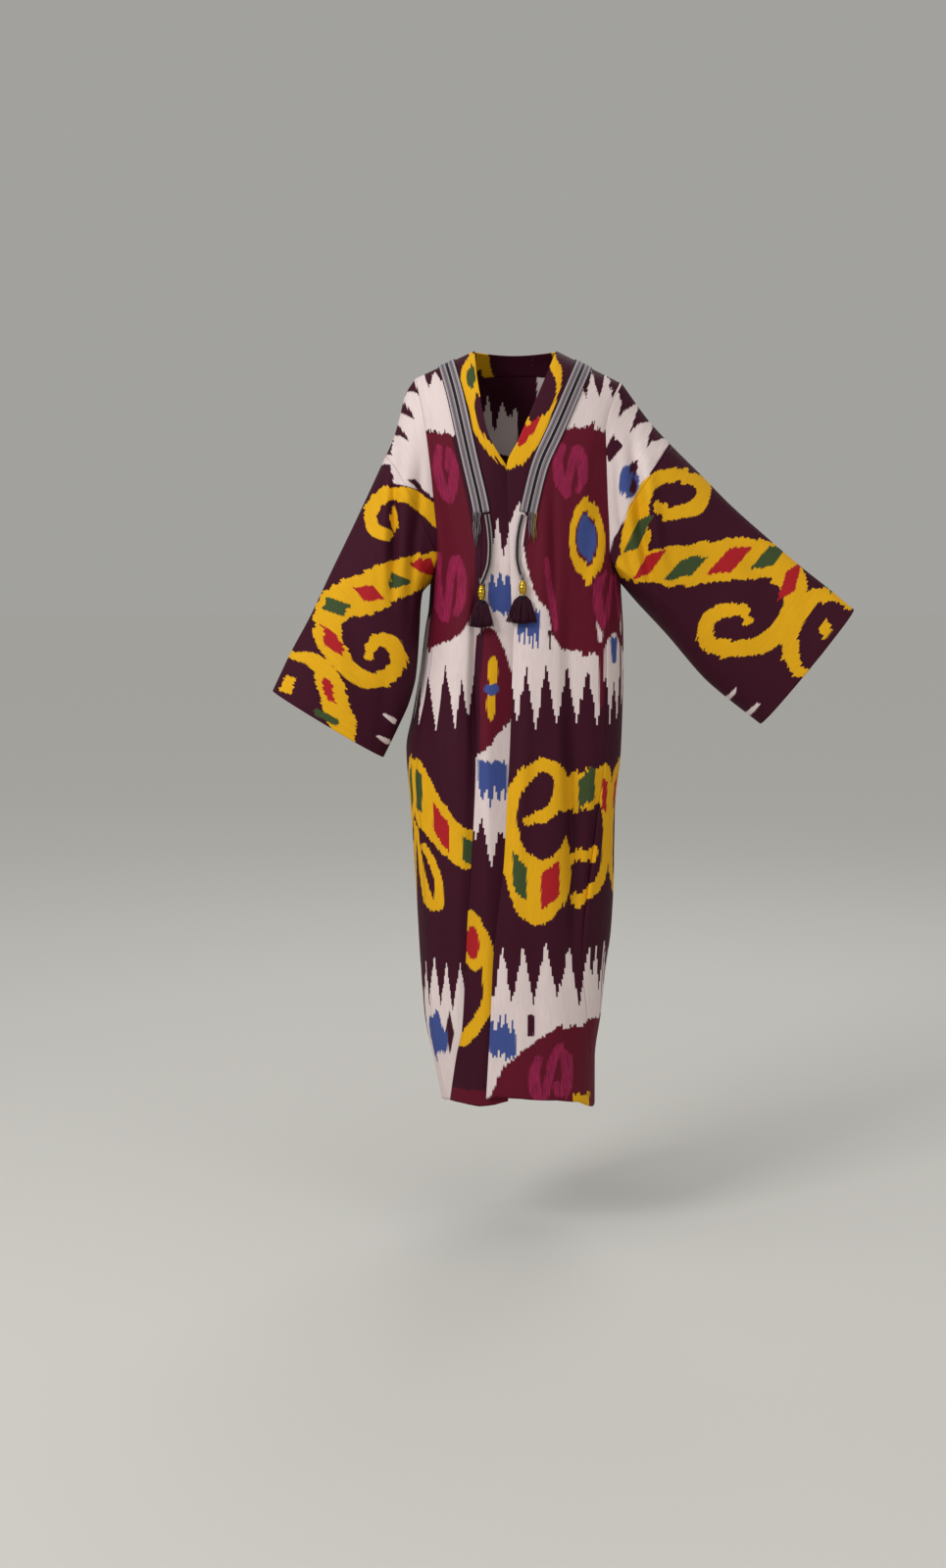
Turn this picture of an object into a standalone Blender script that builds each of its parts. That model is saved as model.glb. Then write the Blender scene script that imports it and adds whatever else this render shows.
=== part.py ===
import math

import bpy
import numpy as np

for old in list(bpy.data.objects):
    bpy.data.objects.remove(old, do_unlink=True)

# Uzbek chapan robe, worn form, metres.  Front faces -Y, up is +Z, wearer's left is +X.
# The origin lies between the shoulder tops, in the neck opening.
WALL = 0.0016       # thickness of the woven silk-and-cotton cloth
SEAM = 0.0003       # gap between two pieces at a seam
BRAID = 0.0020      # thickness of the neck braid
BRAID_HALF = 0.015  # half width of the neck braid
ROUND = 2.4         # squareness of the body's level rings
RIDGE = 0.16        # drop over which the shoulder rounds down to full depth
NECK_X = 0.0686     # half width of the neck opening at the shoulder line
SEAM_X = 0.115      # neck band seam at the shoulder line
J_Z = -0.335        # where armhole, side panel and gore meet

# height, left side, right side, front depth, back depth
BODY = (
    (0.060, -0.192, 0.196, 0.106, 0.101),
    (-0.100, -0.182, 0.192, 0.112, 0.104),
    (-0.200, -0.170, 0.190, 0.116, 0.108),
    (-0.300, -0.153, 0.184, 0.118, 0.110),
    (-0.375, -0.142, 0.1795, 0.119, 0.112),
    (-0.4200, -0.1445, 0.1816, 0.1195, 0.115),
    (-0.4525, -0.1500, 0.1832, 0.120, 0.117),
    (-0.530, -0.1600, 0.184, 0.122, 0.122),
    (-0.600, -0.1730, 0.1835, 0.123, 0.128),
    (-0.661, -0.1848, 0.182, 0.124, 0.134),
    (-0.760, -0.1785, 0.1725, 0.124, 0.142),
    (-0.885, -0.170, 0.1698, 0.124, 0.150),
    (-0.977, -0.1645, 0.165, 0.124, 0.156),
    (-1.050, -0.160, 0.157, 0.124, 0.160),
    (-1.117, -0.155, 0.1515, 0.123, 0.164),
    (-1.200, -0.139, 0.141, 0.121, 0.168),
    (-1.290, -0.121, 0.141, 0.118, 0.170),
)
# height, x: edges and seams of the front, wearer's right side
NECK_RIGHT = ((0.012, -0.0686), (-0.025, -0.0654), (-0.059, -0.0605), (-0.125, -0.0476),
              (-0.166, -0.0267), (-0.182, -0.0155), (-0.250, 0.010), (-0.450, 0.026),
              (-0.800, 0.024), (-1.050, 0.010), (-1.275, -0.014))
BAND_RIGHT = ((-0.0105, -0.115), (-0.059, -0.1013), (-0.117, -0.0881), (-0.182, -0.0735),
              (-0.238, -0.0605), (-0.262, -0.0565), (-0.335, -0.0570), (-0.4475, -0.0638),
              (-0.545, -0.0690), (-0.676, -0.0668), (-0.775, -0.0703), (-0.866, -0.0752),
              (-0.933, -0.0802), (-1.025, -0.084), (-1.126, -0.089), (-1.176, -0.0985),
              (-1.275, -0.112))
GORE_RIGHT = ((-0.335, -0.131), (-0.450, -0.137), (-0.560, -0.149), (-0.660, -0.166),
              (-0.800, -0.159), (-1.000, -0.147), (-1.120, -0.141), (-1.290, -0.110))
# height, x: edges and seams of the front, wearer's left side
NECK_LEFT = ((0.012, 0.0686), (-0.034, 0.0493), (-0.0925, 0.0239), (-0.1415, 0.0025),
             (-0.182, -0.0155), (-0.225, -0.0145), (-0.318, -0.0105), (-0.4475, -0.007),
             (-0.545, -0.0068), (-0.643, -0.0099), (-0.742, -0.0146), (-0.841, -0.0194),
             (-0.941, -0.0308), (-1.008, -0.0373), (-1.100, -0.0413), (-1.275, -0.0505))
BAND_LEFT = ((-0.0105, 0.115), (-0.059, 0.0928), (-0.125, 0.0641), (-0.182, 0.0385),
             (-0.238, 0.0240), (-0.262, 0.0190), (-0.335, 0.0090), (-0.445, -0.0030))
GORE_LEFT = ((-0.335, 0.157), (-0.450, 0.153), (-0.640, 0.152), (-0.800, 0.135),
             (-1.000, 0.114), (-1.120, 0.124), (-1.290, 0.136))
# height, x: back seams of the gores
BACK_RIGHT = ((-0.335, -0.131), (-0.560, -0.145), (-0.800, -0.140), (-1.000, -0.128),
              (-1.290, -0.095))
BACK_LEFT = ((-0.335, 0.157), (-0.560, 0.150), (-0.800, 0.137), (-1.000, 0.126),
             (-1.290, 0.108))
# height, x: armhole edge of the body panels
ARM_RIGHT = ((-0.0340, -0.1680), (-0.092, -0.1545), (-0.133, -0.148), (-0.182, -0.142),
             (-0.254, -0.135), (-0.300, -0.1315), (-0.335, -0.131))
ARM_LEFT = ((-0.0425, 0.1800), (-0.090, 0.156), (-0.124, 0.149), (-0.165, 0.150),
            (-0.240, 0.153), (-0.300, 0.1565), (-0.335, 0.157))
# x, height of the front hem
HEM_RIGHT = ((-0.130, -1.268), (-0.112, -1.262), (-0.090, -1.261), (-0.060, -1.263),
             (-0.035, -1.259), (-0.010, -1.252))
HEM_LEFT = ((-0.055, -1.247), (-0.030, -1.244), (0.010, -1.245), (0.070, -1.251),
            (0.110, -1.260), (0.140, -1.282))
# sleeve lines from armhole to cuff, x and z: top fold, then under fold
TOP_LEFT = ((0.180, -0.0425), (0.2243, -0.1022), (0.2568, -0.1375), (0.3137, -0.1934),
            (0.3668, -0.2470), (0.4240, -0.2976), (0.4895, -0.3530), (0.5306, -0.3850),
            (0.5760, -0.4224))
LOW_LEFT = ((0.1795, -0.375), (0.2067, -0.4067), (0.2599, -0.4633), (0.3257, -0.5395),
            (0.3500, -0.5610), (0.4205, -0.6162))
TOP_RIGHT = ((-0.168, -0.034), (-0.1846, -0.0612), (-0.1945, -0.1000), (-0.2045, -0.1342),
             (-0.2237, -0.1769), (-0.2677, -0.2720), (-0.3120, -0.3632), (-0.3453, -0.4324),
             (-0.3790, -0.4943), (-0.4098, -0.5582))
LOW_RIGHT = ((-0.142, -0.375), (-0.1580, -0.395), (-0.1610, -0.4200), (-0.1625, -0.4525),
             (-0.1680, -0.5300), (-0.1790, -0.5750), (-0.1965, -0.6150), (-0.2237, -0.6705))
# share of the way to the cuff, half depth, forward shift
FORM_LEFT = ((0.00, 0.085, 0.000), (0.30, 0.072, 0.004), (0.60, 0.056, -0.006),
             (1.00, 0.044, -0.014))
FORM_RIGHT = ((0.00, 0.085, 0.000), (0.25, 0.070, -0.020), (0.60, 0.054, -0.044),
              (1.00, 0.042, -0.046))
HEAD_TOP = 0.245    # share of the sleeve's top line that the head piece takes
ARM_ROWS = (0, 0.045, 0.12, 0.22, 0.34, 0.47, 0.62, 0.775, 0.89, 1.0)
HEM_ROWS = (0, 0.0627, 0.1254) + tuple(0.1254 + 0.8746 * (i + 1) / 14 for i in range(14))


def along(rows, at, column=1):
    """Smooth value of a table column at one place of its first column."""
    t = np.asarray(rows, float)
    k, v = t[:, 0], t[:, column]
    if k[0] > k[-1]:
        k, v = k[::-1], v[::-1]
    d = np.diff(v) / np.diff(k)
    m = np.concatenate([[d[0]], np.where(d[1:] * d[:-1] > 0, 2 * d[1:] * d[:-1]
                        / np.where(d[1:] + d[:-1] == 0, 1, d[1:] + d[:-1]), 0), [d[-1]]])
    a = np.clip(np.asarray(at, float), k[0], k[-1])
    i = np.clip(np.searchsorted(k, a, side="right") - 1, 0, len(k) - 2)
    h = k[i + 1] - k[i]
    s = (a - k[i]) / h
    return ((2 * s**3 - 3 * s**2 + 1) * v[i] + (s**3 - 2 * s**2 + s) * h * m[i]
            + (3 * s**2 - 2 * s**3) * v[i + 1] + (s**3 - s**2) * h * m[i + 1])


def smooth(x):
    x = np.clip(x, 0, 1)
    return x * x * (3 - 2 * x)


def bell(x, middle, width):
    return np.exp(-((x - middle) / width) ** 2)


def ridge(x):
    """Height of the shoulder line."""
    out = np.abs(x) - NECK_X
    tip = np.where(x > 0, 0.1114, 0.0994)
    drop = np.where(x > 0, 0.0545, 0.0460)
    return 0.012 - drop * np.clip(out, 0, None) / tip


def depth(x, z, column):
    left, right = along(BODY, z, 1), along(BODY, z, 2)
    e = np.abs((x - (left + right) / 2) / ((right - left) / 2))
    return along(BODY, z, column) * np.clip(1 - e**ROUND, 0, 1) ** (1 / ROUND)


def rounding(d):
    return np.sqrt(1 - (1 - np.clip(d / RIDGE, 0, 1)) ** 2)


def front(x, z, side):
    """Depth of a front: side 1 is the wearer's left, which lies on top."""
    y = -depth(x, z, 3) * rounding(ridge(x) - z)
    low = smooth((-0.10 - z) / 0.10)
    if side > 0:
        lap = low * (1 - smooth((x - 0.045) / 0.05))
        fold = along(FOLD_LEFT, z, 1)
        deep = along(FOLD_LEFT, z, 2)
        y = y - 0.0045 * lap
        y = y - deep * 0.5 * bell(x, fold - 0.022, 0.022)
        return y + deep * smooth((x - fold + 0.006) / 0.022) * (1 - smooth((x - fold - 0.03) / 0.05))
    seam = along(BAND_RIGHT, z)
    deep = along(FOLD_RIGHT, z, 1)
    y = y + 0.0045 * low * smooth((x + 0.050) / 0.035)
    y = y - 0.6 * deep * bell(x, seam - 0.028, 0.020)
    return y + deep * smooth((x - seam + 0.016) / 0.020)


# height, line of the soft fold, its depth: wearer's left front
FOLD_LEFT = ((-0.30, 0.072, 0.0), (-0.45, 0.074, 0.006), (-0.66, 0.078, 0.010),
             (-0.80, 0.086, 0.010), (-0.92, 0.093, 0.006), (-1.05, 0.095, 0.0))
# height, step at the strip seam: wearer's right front
FOLD_RIGHT = ((-0.34, 0.0), (-0.45, 0.010), (-0.60, 0.014), (-0.72, 0.012), (-0.85, 0.007),
              (-1.10, 0.004), (-1.28, 0.003))


def nape(x):
    """Top line of the back cloth if it ran on up inside the neck opening."""
    inside = np.clip(1 - (x / NECK_X) ** 2, 0, 1)
    return ridge(x) + 0.030 * inside


def back(x, z):
    return depth(x, z, 4) * rounding(nape(x) - z)


def back_height(x, y):
    """Height at which the upper back has depth y."""
    z = np.zeros_like(x)
    for _ in range(12):
        full = np.maximum(depth(x, z, 4), 1e-6)
        share = np.clip(y / full, 0, 0.98)
        z = nape(x) - RIDGE * (1 - np.sqrt(1 - share**2))
    return z


def mix(a, b, t):
    return a + (b - a) * t


def front_rows(edge_a, edge_b, hem, columns, side):
    """Grid of a front piece between two edges given as height tables, from shoulder to hem."""
    rows = []
    top_a, top_b = edge_a[0], edge_b[0]
    for w in ARM_ROWS:
        za, zb = mix(top_a[0], J_Z, w), mix(top_b[0], J_Z, w)
        xa, xb = along(edge_a, za), along(edge_b, zb)
        u = columns(xa, xb)
        x = mix(xa, xb, u)
        z = mix(za, zb, u)
        if w == 0:
            z = ridge(x)
        rows.append(np.stack([x, front(x, z, side) if w else 0 * x, z], 1))
    for t in HEM_ROWS[1:]:
        z = np.full(len(rows[0]), mix(J_Z, -1.255, t))
        for _ in range(3):
            xa, xb = along(edge_a, z[0]), along(edge_b, z[-1])
            x = mix(xa, xb, columns(xa, xb))
            z = mix(J_Z, np.interp(x, *zip(*hem)), t)
        rows.append(np.stack([x, front(x, z, side), z], 1))
    return np.array(rows)


def even(n):
    return lambda xa, xb: np.linspace(0, 1, n + 1)


def seam_first(n):
    """Columns with one line at the braid's edge, next to the first edge."""
    def columns(xa, xb):
        b = min(BRAID_HALF / max(abs(xb - xa), 1e-4), 0.5)
        return np.concatenate([[0], np.linspace(b, 1, n)])
    return columns


def seam_last(n):
    def columns(xa, xb):
        return 1 - seam_first(n)(xa, xb)[::-1]
    return columns


def join(head, tail):
    return tuple(head) + tuple(r for r in tail if r[0] < head[-1][0])


OUT_RIGHT = join(ARM_RIGHT, GORE_RIGHT)
OUT_LEFT = join(ARM_LEFT, GORE_LEFT)
OPEN_LEFT = join(BAND_LEFT, [(z, x) for z, x in NECK_LEFT if z < -0.46])

main_right = front_rows(OUT_RIGHT, BAND_RIGHT, HEM_RIGHT, seam_last(6), -1)
strip_right = front_rows(BAND_RIGHT, NECK_RIGHT, HEM_RIGHT, seam_first(4), -1)
band_all = front_rows(NECK_LEFT, BAND_LEFT + ((-1.28, -0.0505),), HEM_LEFT, seam_last(4), 1)
band_rows = len(ARM_ROWS) + 2
band_left = band_all[:band_rows]
main_left = front_rows(OPEN_LEFT, OUT_LEFT, HEM_LEFT, seam_first(8), 1)
main_left[:band_rows, 0] = band_left[:, -1]

# back band round the neck, from the wearer's left shoulder to the right one
turn = np.linspace(0, math.pi, 15)
band_x = np.concatenate([band_left[0, :, 0]])
neck_share = (band_x - NECK_X) / (SEAM_X - NECK_X)
band_back = []
for share in neck_share:
    x = mix(NECK_X, SEAM_X, share) * np.cos(turn)
    y = mix(0.062, 0.083, share) * np.sin(turn)
    z = back_height(x, y)
    z[[0, -1]] = ridge(x[[0, -1]])
    y[[0, -1]] = 0
    band_back.append(np.stack([x, y, z], 1))
band_back = np.array(band_back)
band_back[:, 0], band_back[:, -1] = band_left[0], strip_right[0, ::-1]

# back panel: its top line is both shoulder seams and the seam of the band
top = np.concatenate([main_left[0, ::-1], band_back[-1, 1:-1], main_right[0, ::-1]])
u = (top[:, 0] - top[-1, 0]) / (top[0, 0] - top[-1, 0])
rows = [top]
for w in ARM_ROWS[1:]:
    z = mix(top[:, 2], J_Z, w)
    xl, xr = along(ARM_LEFT, z[0]), along(ARM_RIGHT, z[-1])
    x = mix(xr, xl, u)
    rows.append(np.stack([x, back(x, z), z], 1))
for t in HEM_ROWS[1:]:
    z = np.full(len(top), mix(J_Z, -1.284, t))
    x = mix(along(BACK_RIGHT, z[0]), along(BACK_LEFT, z[0]), u)
    rows.append(np.stack([x, back(x, z), z], 1))
back_panel = np.array(rows)


def ring_angle(x, z, column):
    left, right = along(BODY, z, 1), along(BODY, z, 2)
    e = np.clip((x - (left + right) / 2) / ((right - left) / 2), -1, 1)
    c = np.sign(e) * np.abs(e) ** (ROUND / 2)
    return math.acos(c) * (-1 if column == 3 else 1)


def ring_point(angle, z):
    left, right = along(BODY, z, 1), along(BODY, z, 2)
    c, s = math.cos(angle), math.sin(angle)
    x = (left + right) / 2 + (right - left) / 2 * math.copysign(abs(c) ** (2 / ROUND), c)
    y = math.copysign(abs(s) ** (2 / ROUND), s) * along(BODY, z, 3 if s < 0 else 4)
    return x, y, z


def gore(front_edge, back_edge, count, sign):
    """Side piece from the armhole to the hem; its edges are those of the panels it joins."""
    rows = []
    first = len(ARM_ROWS) - 1
    for j in range(first, len(front_edge)):
        f, b = front_edge[j], back_edge[j]
        af, ab = ring_angle(f[0], f[2], 3), ring_angle(b[0], b[2], 4)
        if sign < 0:
            af = af + 2 * math.pi
        t = (j - first) / (len(front_edge) - 1 - first)
        row = []
        for i in range(count + 1):
            k = i / count
            z = mix(f[2], b[2], k) - 0.040 * math.sin(math.pi * k) * max(0, 1 - t * 3.2) ** 2
            x, y, z = ring_point(mix(af, ab, k), float(z))
            row.append((x, y, z))
        row[0], row[-1] = f, b
        rows.append(row)
    return np.array(rows)


GORE_COLUMNS = 6
gore_left = gore(main_left[:, -1], back_panel[:, 0], GORE_COLUMNS, 1)
gore_right = gore(main_right[:, 0], back_panel[:, -1], GORE_COLUMNS, -1)[:, ::-1]
last = len(ARM_ROWS) - 1
ring_left = np.concatenate([main_left[:last, -1], gore_left[0], back_panel[last - 1:0:-1, 0]])
ring_right = np.concatenate([main_right[:last, 0], gore_right[0, ::-1],
                             back_panel[last - 1:0:-1, -1]])


def line_at(points, share):
    p = np.asarray(points, float)
    run = np.concatenate([[0], np.cumsum(np.linalg.norm(np.diff(p, axis=0), axis=1))])
    k = run / run[-1]
    return np.stack([along(np.stack([k, p[:, c]], 1), share) for c in range(2)], -1)


def sleeve(ring, top_line, low_line, form, shares):
    """Sleeve grid, ring vertex by share of the way to the cuff; shares is one row per ring line."""
    n = len(ring)
    low = n // 2
    zt, zl = top_line[0][1], low_line[0][1]
    q0 = (ring[:, 2] - zt) / (zl - zt)
    theta = math.pi * np.arange(n) / low
    q1 = (1 - np.cos(theta)) / 2
    back_side = np.where(np.arange(n) > low, 1.0, -1.0)
    x0 = mix(top_line[0][0], low_line[0][0], q0)
    grid = []
    for j in range(shares.shape[0]):
        s = shares[j]
        b = smooth(s / 0.55)
        a, c = line_at(top_line, s), line_at(low_line, s)
        q = mix(q0, q1, b)
        p = mix(a, c, q[:, None])
        half, shift = along(form, s, 1), along(form, s, 2)
        y = mix(ring[:, 1], back_side * half * np.abs(np.sin(theta)) ** 0.85, b) + shift
        x = p[:, 0] + (ring[:, 0] - x0) * (1 - smooth(s / 0.22))
        grid.append(np.stack([x, y, p[:, 1]], 1))
    return np.array(grid)


def head_share(ring, zt, zl):
    q = (ring[:, 2] - zt) / (zl - zt)
    k = np.minimum(np.arange(len(q)), len(q) - np.arange(len(q)))
    return np.where(k < last, HEAD_TOP * np.clip(1 - q / q[last], 0, 1), 0)


def both(ring, top_line, low_line, form):
    h = head_share(ring, top_line[0][1], low_line[0][1])
    head = np.array([h * t for t in (0, 0.5, 1)])
    main = np.array([mix(h, np.ones_like(h), t) for t in np.linspace(0, 1, 10)])
    over = np.arange(-last, last + 1)
    head = sleeve(ring, top_line, low_line, form, head)[:, over]
    main = sleeve(ring, top_line, low_line, form, main)
    head[0], main[0, last:len(ring) - last + 1] = ring[over], ring[last:len(ring) - last + 1]
    main[0, over] = head[-1]
    return head, main


head_left, sleeve_left = both(ring_left, TOP_LEFT, LOW_LEFT, FORM_LEFT)
head_right, sleeve_right = both(ring_right, TOP_RIGHT, LOW_RIGHT, FORM_RIGHT)

# name: grid, runs round as a tube, faces the other way
PIECES = {
    "front_right": (main_right, False, 1),
    "front_strip_right": (strip_right, False, 1),
    "front_left": (main_left, False, 1),
    "neck_band_left": (band_left, False, 1),
    "neck_band_back": (band_back, False, 1),
    "back_panel": (back_panel, False, 1),
    "gore_left": (gore_left, False, 1),
    "gore_right": (gore_right, False, 1),
    "sleeve_head_left": (head_left, False, -1),
    "sleeve_left": (sleeve_left, True, -1),
    "sleeve_head_right": (head_right, False, 1),
    "sleeve_right": (sleeve_right, True, 1),
}


def faces_of(shape, tube):
    n, m = shape
    return [(j * m + i, (j + 1) * m + i, (j + 1) * m + (i + 1) % m, j * m + (i + 1) % m)
            for j in range(n - 1) for i in range(m if tube else m - 1)]


def shared_normals(pieces):
    """One outward direction for each place, the same for all pieces that meet there."""
    total = {}
    def key(p):
        return tuple(int(round(float(c) * 20000)) for c in p)
    for grid, tube, sign in pieces.values():
        pts = grid.reshape(-1, 3)
        for f in faces_of(grid.shape[:2], tube):
            a, b, c, d = (pts[i] for i in f)
            n = np.cross(c - a, b - d) * -sign
            n = n / max(np.linalg.norm(n), 1e-12)
            for i in f:
                total[key(pts[i])] = total.get(key(pts[i]), 0) + n
    out = {}
    for name, (grid, tube, sign) in pieces.items():
        n = np.array([total[key(p)] for p in grid.reshape(-1, 3)])
        out[name] = (n / np.linalg.norm(n, axis=1)[:, None]).reshape(grid.shape)
    return out


def trim(grid, tube):
    """Edges drawn in by half a seam gap."""
    g = grid.copy()
    def pull(edge, inner):
        d = inner - edge
        return edge + d / np.maximum(np.linalg.norm(d, axis=-1, keepdims=True), 1e-6) * SEAM / 2
    g[0], g[-1] = pull(g[0], g[1]), pull(g[-1], g[-2])
    if not tube:
        for edge, inner in ((0, 1), (-1, -2)):
            if np.linalg.norm(grid[0, edge] - grid[-1, edge]) < 1e-4:
                g[:, edge] = mix(grid[0, edge], g[1, inner], 0.2)
            else:
                g[:, edge] = pull(g[:, edge], g[:, inner])
    return g


def wall(name, grid, normals, tube, sign, thick, colour, rough):
    """Closed cloth wall from a middle grid, half its thickness to each side."""
    n, m = grid.shape[:2]
    mid, nor = grid.reshape(-1, 3), normals.reshape(-1, 3)
    verts = np.concatenate([mid + nor * thick / 2, mid - nor * thick / 2])
    k = n * m
    quads = [t for a, b, c, d in faces_of((n, m), tube) for t in ((a, b, c), (a, c, d))]
    faces = [f if sign > 0 else f[::-1] for f in quads]
    faces += [tuple(i + k for i in f[::-1]) for f in faces]
    def skirt(loop, closed):
        for a, b in zip(loop, loop[1:] + (loop[:1] if closed else [])):
            drop = (mid[b] - mid[a]) @ np.array((0.37, 0.11, 1.0))
            split = ((b, a, a + k), (b, a + k, b + k)) if drop > 0 else ((b, a, b + k), (a, a + k, b + k))
            faces.extend(t if sign > 0 else t[::-1] for t in split)
    if tube:
        skirt([i for i in range(m)][::-1], True)
        skirt([(n - 1) * m + i for i in range(m)], True)
    else:
        loop = ([j * m for j in range(n)] + [(n - 1) * m + i for i in range(1, m)]
                + [j * m + m - 1 for j in range(n - 2, -1, -1)] + list(range(m - 2, 0, -1)))
        skirt(loop, True)
    return solid(name, verts, faces, colour, rough)


def solid(name, verts, faces, colour, rough, metal=0.0):
    seen, place = {}, []
    for v in verts:
        place.append(seen.setdefault(tuple(round(float(c), 7) for c in v), len(seen)))
    verts = list(seen)
    faces = [tuple(place[i] for i in f) for f in faces]
    faces = [f for f in (tuple(dict.fromkeys(f)) for f in faces) if len(f) > 2]
    mesh = bpy.data.meshes.new(name)
    mesh.from_pydata([tuple(map(float, v)) for v in verts], [], faces)
    mesh.update()
    o = bpy.data.objects.new(name, mesh)
    bpy.context.scene.collection.objects.link(o)
    m = bpy.data.materials.new(name)
    m.use_nodes = True
    p = m.node_tree.nodes["Principled BSDF"]
    p.inputs["Base Color"].default_value = (*colour, 1)
    p.inputs["Roughness"].default_value = rough
    p.inputs["Metallic"].default_value = metal
    mesh.materials.append(m)
    return o


CLOTH = {"front_right": (0.21, 0.03, 0.07), "front_strip_right": (0.42, 0.27, 0.03),
         "front_left": (0.20, 0.03, 0.06), "neck_band_left": (0.45, 0.28, 0.03),
         "neck_band_back": (0.45, 0.28, 0.03), "back_panel": (0.22, 0.03, 0.06),
         "gore_left": (0.16, 0.03, 0.06), "gore_right": (0.16, 0.03, 0.06),
         "sleeve_head_left": (0.55, 0.45, 0.45), "sleeve_left": (0.35, 0.18, 0.05),
         "sleeve_head_right": (0.55, 0.45, 0.45), "sleeve_right": (0.35, 0.18, 0.05)}

normals = shared_normals(PIECES)
for name, (grid, tube, sign) in PIECES.items():
    wall(name, trim(grid, tube), normals[name], tube, sign, WALL, CLOTH[name], 0.6)

# neck braid: the panels' own cells along the band seam, moved out
END = ARM_ROWS.index(0.775)
OUT = WALL / 2 + SEAM + BRAID / 2
corner = len(main_left[0]) - 1
far = corner + len(turn) - 1
CELLS = (("neck_band_left", range(END), range(-2, -1)), ("front_left", range(END), range(0, 1)),
         ("front_right", range(END), range(-2, -1)), ("front_strip_right", range(END), range(0, 1)),
         ("neck_band_back", range(-2, -1), range(len(turn) - 1)),
         ("back_panel", range(0, 1), range(corner - 1, far + 1)))
place, mid, out, tris = {}, [], [], []
for name, js, cs in CELLS:
    grid, nor = PIECES[name][0], normals[name]
    for j in js:
        for i in cs:
            cell = []
            for a, b in ((j, i), (j + 1, i), (j + 1, i + 1), (j, i + 1)):
                k = tuple(int(round(float(c) * 20000)) for c in grid[a, b])
                if k not in place:
                    place[k] = len(mid)
                    mid.append(grid[a, b] + nor[a, b] * OUT)
                    out.append(nor[a, b])
                cell.append(place[k])
            tris += [(cell[0], cell[1], cell[2]), (cell[0], cell[2], cell[3])]
mid, out = np.array(mid), np.array(out)
edges = {(t[i], t[(i + 1) % 3]) for t in tris for i in range(3)}
k = len(mid)
faces = tris + [tuple(i + k for i in t[::-1]) for t in tris]
for a, b in sorted(edges):
    if (b, a) not in edges:
        faces += [(b, a, a + k), (b, a + k, b + k)]
BRAID_COLOUR = (0.10, 0.09, 0.10)
solid("neck_braid", np.concatenate([mid + out * BRAID / 2, mid - out * BRAID / 2]), faces,
      BRAID_COLOUR, 0.7)

# loose ends of the braid's outer half: x, z, width
LOOSE = {"braid_end_right": (-1, ((-0.0645, -0.2640, 0.0125), (-0.0655, -0.285, 0.0120),
                                  (-0.0650, -0.305, 0.0110), (-0.0640, -0.326, 0.0100))),
         "braid_end_left": (1, ((0.0270, -0.2640, 0.0125), (0.0275, -0.285, 0.0125),
                                (0.0265, -0.303, 0.0120), (0.0255, -0.322, 0.0110)))}
for name, (side, path) in LOOSE.items():
    rows = []
    for x, z, wide in path:
        row = []
        for u in (-0.5, 0, 0.5):
            row.append((x + u * wide, front(x, z, side) - 0.0035 - 0.0004 * abs(u), z))
        rows.append(row)
    rows = np.array(rows)
    wall(name, rows, np.zeros_like(rows) + (0, -1, 0), False, 1, BRAID, BRAID_COLOUR, 0.8)

# narrow ties: x, z, distance in front of the cloth
TIES = {"tie_right": (-1, ((-0.0480, -0.2645, 0.0036), (-0.0440, -0.2900, 0.0034),
                           (-0.0425, -0.3150, 0.0034), (-0.0440, -0.3400, 0.0040),
                           (-0.0505, -0.3620, 0.0070), (-0.0566, -0.3760, 0.0095))),
        "tie_left": (1, ((0.0105, -0.2645, 0.0036), (0.0050, -0.2850, 0.0034),
                         (0.0020, -0.3080, 0.0034), (0.0015, -0.3300, 0.0040),
                         (0.0050, -0.3520, 0.0070), (0.0105, -0.3680, 0.0095)))}
TIE_RADIUS = 0.0024


def finish(o, colour, rough, metal=0.0):
    m = bpy.data.materials.new(o.name)
    m.use_nodes = True
    p = m.node_tree.nodes["Principled BSDF"]
    p.inputs["Base Color"].default_value = (*colour, 1)
    p.inputs["Roughness"].default_value = rough
    p.inputs["Metallic"].default_value = metal
    o.data.materials.append(m)
    bpy.context.scene.collection.objects.link(o)
    return o


for name, (side, path) in TIES.items():
    p = np.array(path)
    steps = np.arange(len(p))
    curve = bpy.data.curves.new(name, "CURVE")
    curve.dimensions = "3D"
    curve.bevel_depth, curve.bevel_resolution, curve.use_fill_caps = TIE_RADIUS, 2, True
    line = curve.splines.new("POLY")
    line.points.add(15)
    for point, t in zip(line.points, np.linspace(0, len(p) - 1, 16)):
        x, z, off = (along(np.stack([steps, p[:, c]], 1), t) for c in range(3))
        point.co = (x, front(x, z, side) - off - 0.0006, z, 1)
    finish(bpy.data.objects.new(name, curve), BRAID_COLOUR, 0.8)


def turned(name, top, profile, lean, flat, colour, rough, metal=0.0):
    """Round piece: a profile of drop and radius, screwed about its own upright line."""
    mesh = bpy.data.meshes.new(name)
    points = [(0, 0, 0)] + [(r, 0, -h) for h, r in profile] + [(0, 0, -profile[-1][0])]
    mesh.from_pydata(points, [(i, i + 1) for i in range(len(points) - 1)], [])
    o = finish(bpy.data.objects.new(name, mesh), colour, rough, metal)
    o.location, o.rotation_euler, o.scale = top, (0, lean, 0), (1, flat, 1)
    screw = o.modifiers.new("turn", "SCREW")
    screw.steps = screw.render_steps = 20
    screw.use_merge_vertices, screw.merge_threshold = True, 1e-5
    return o


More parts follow.
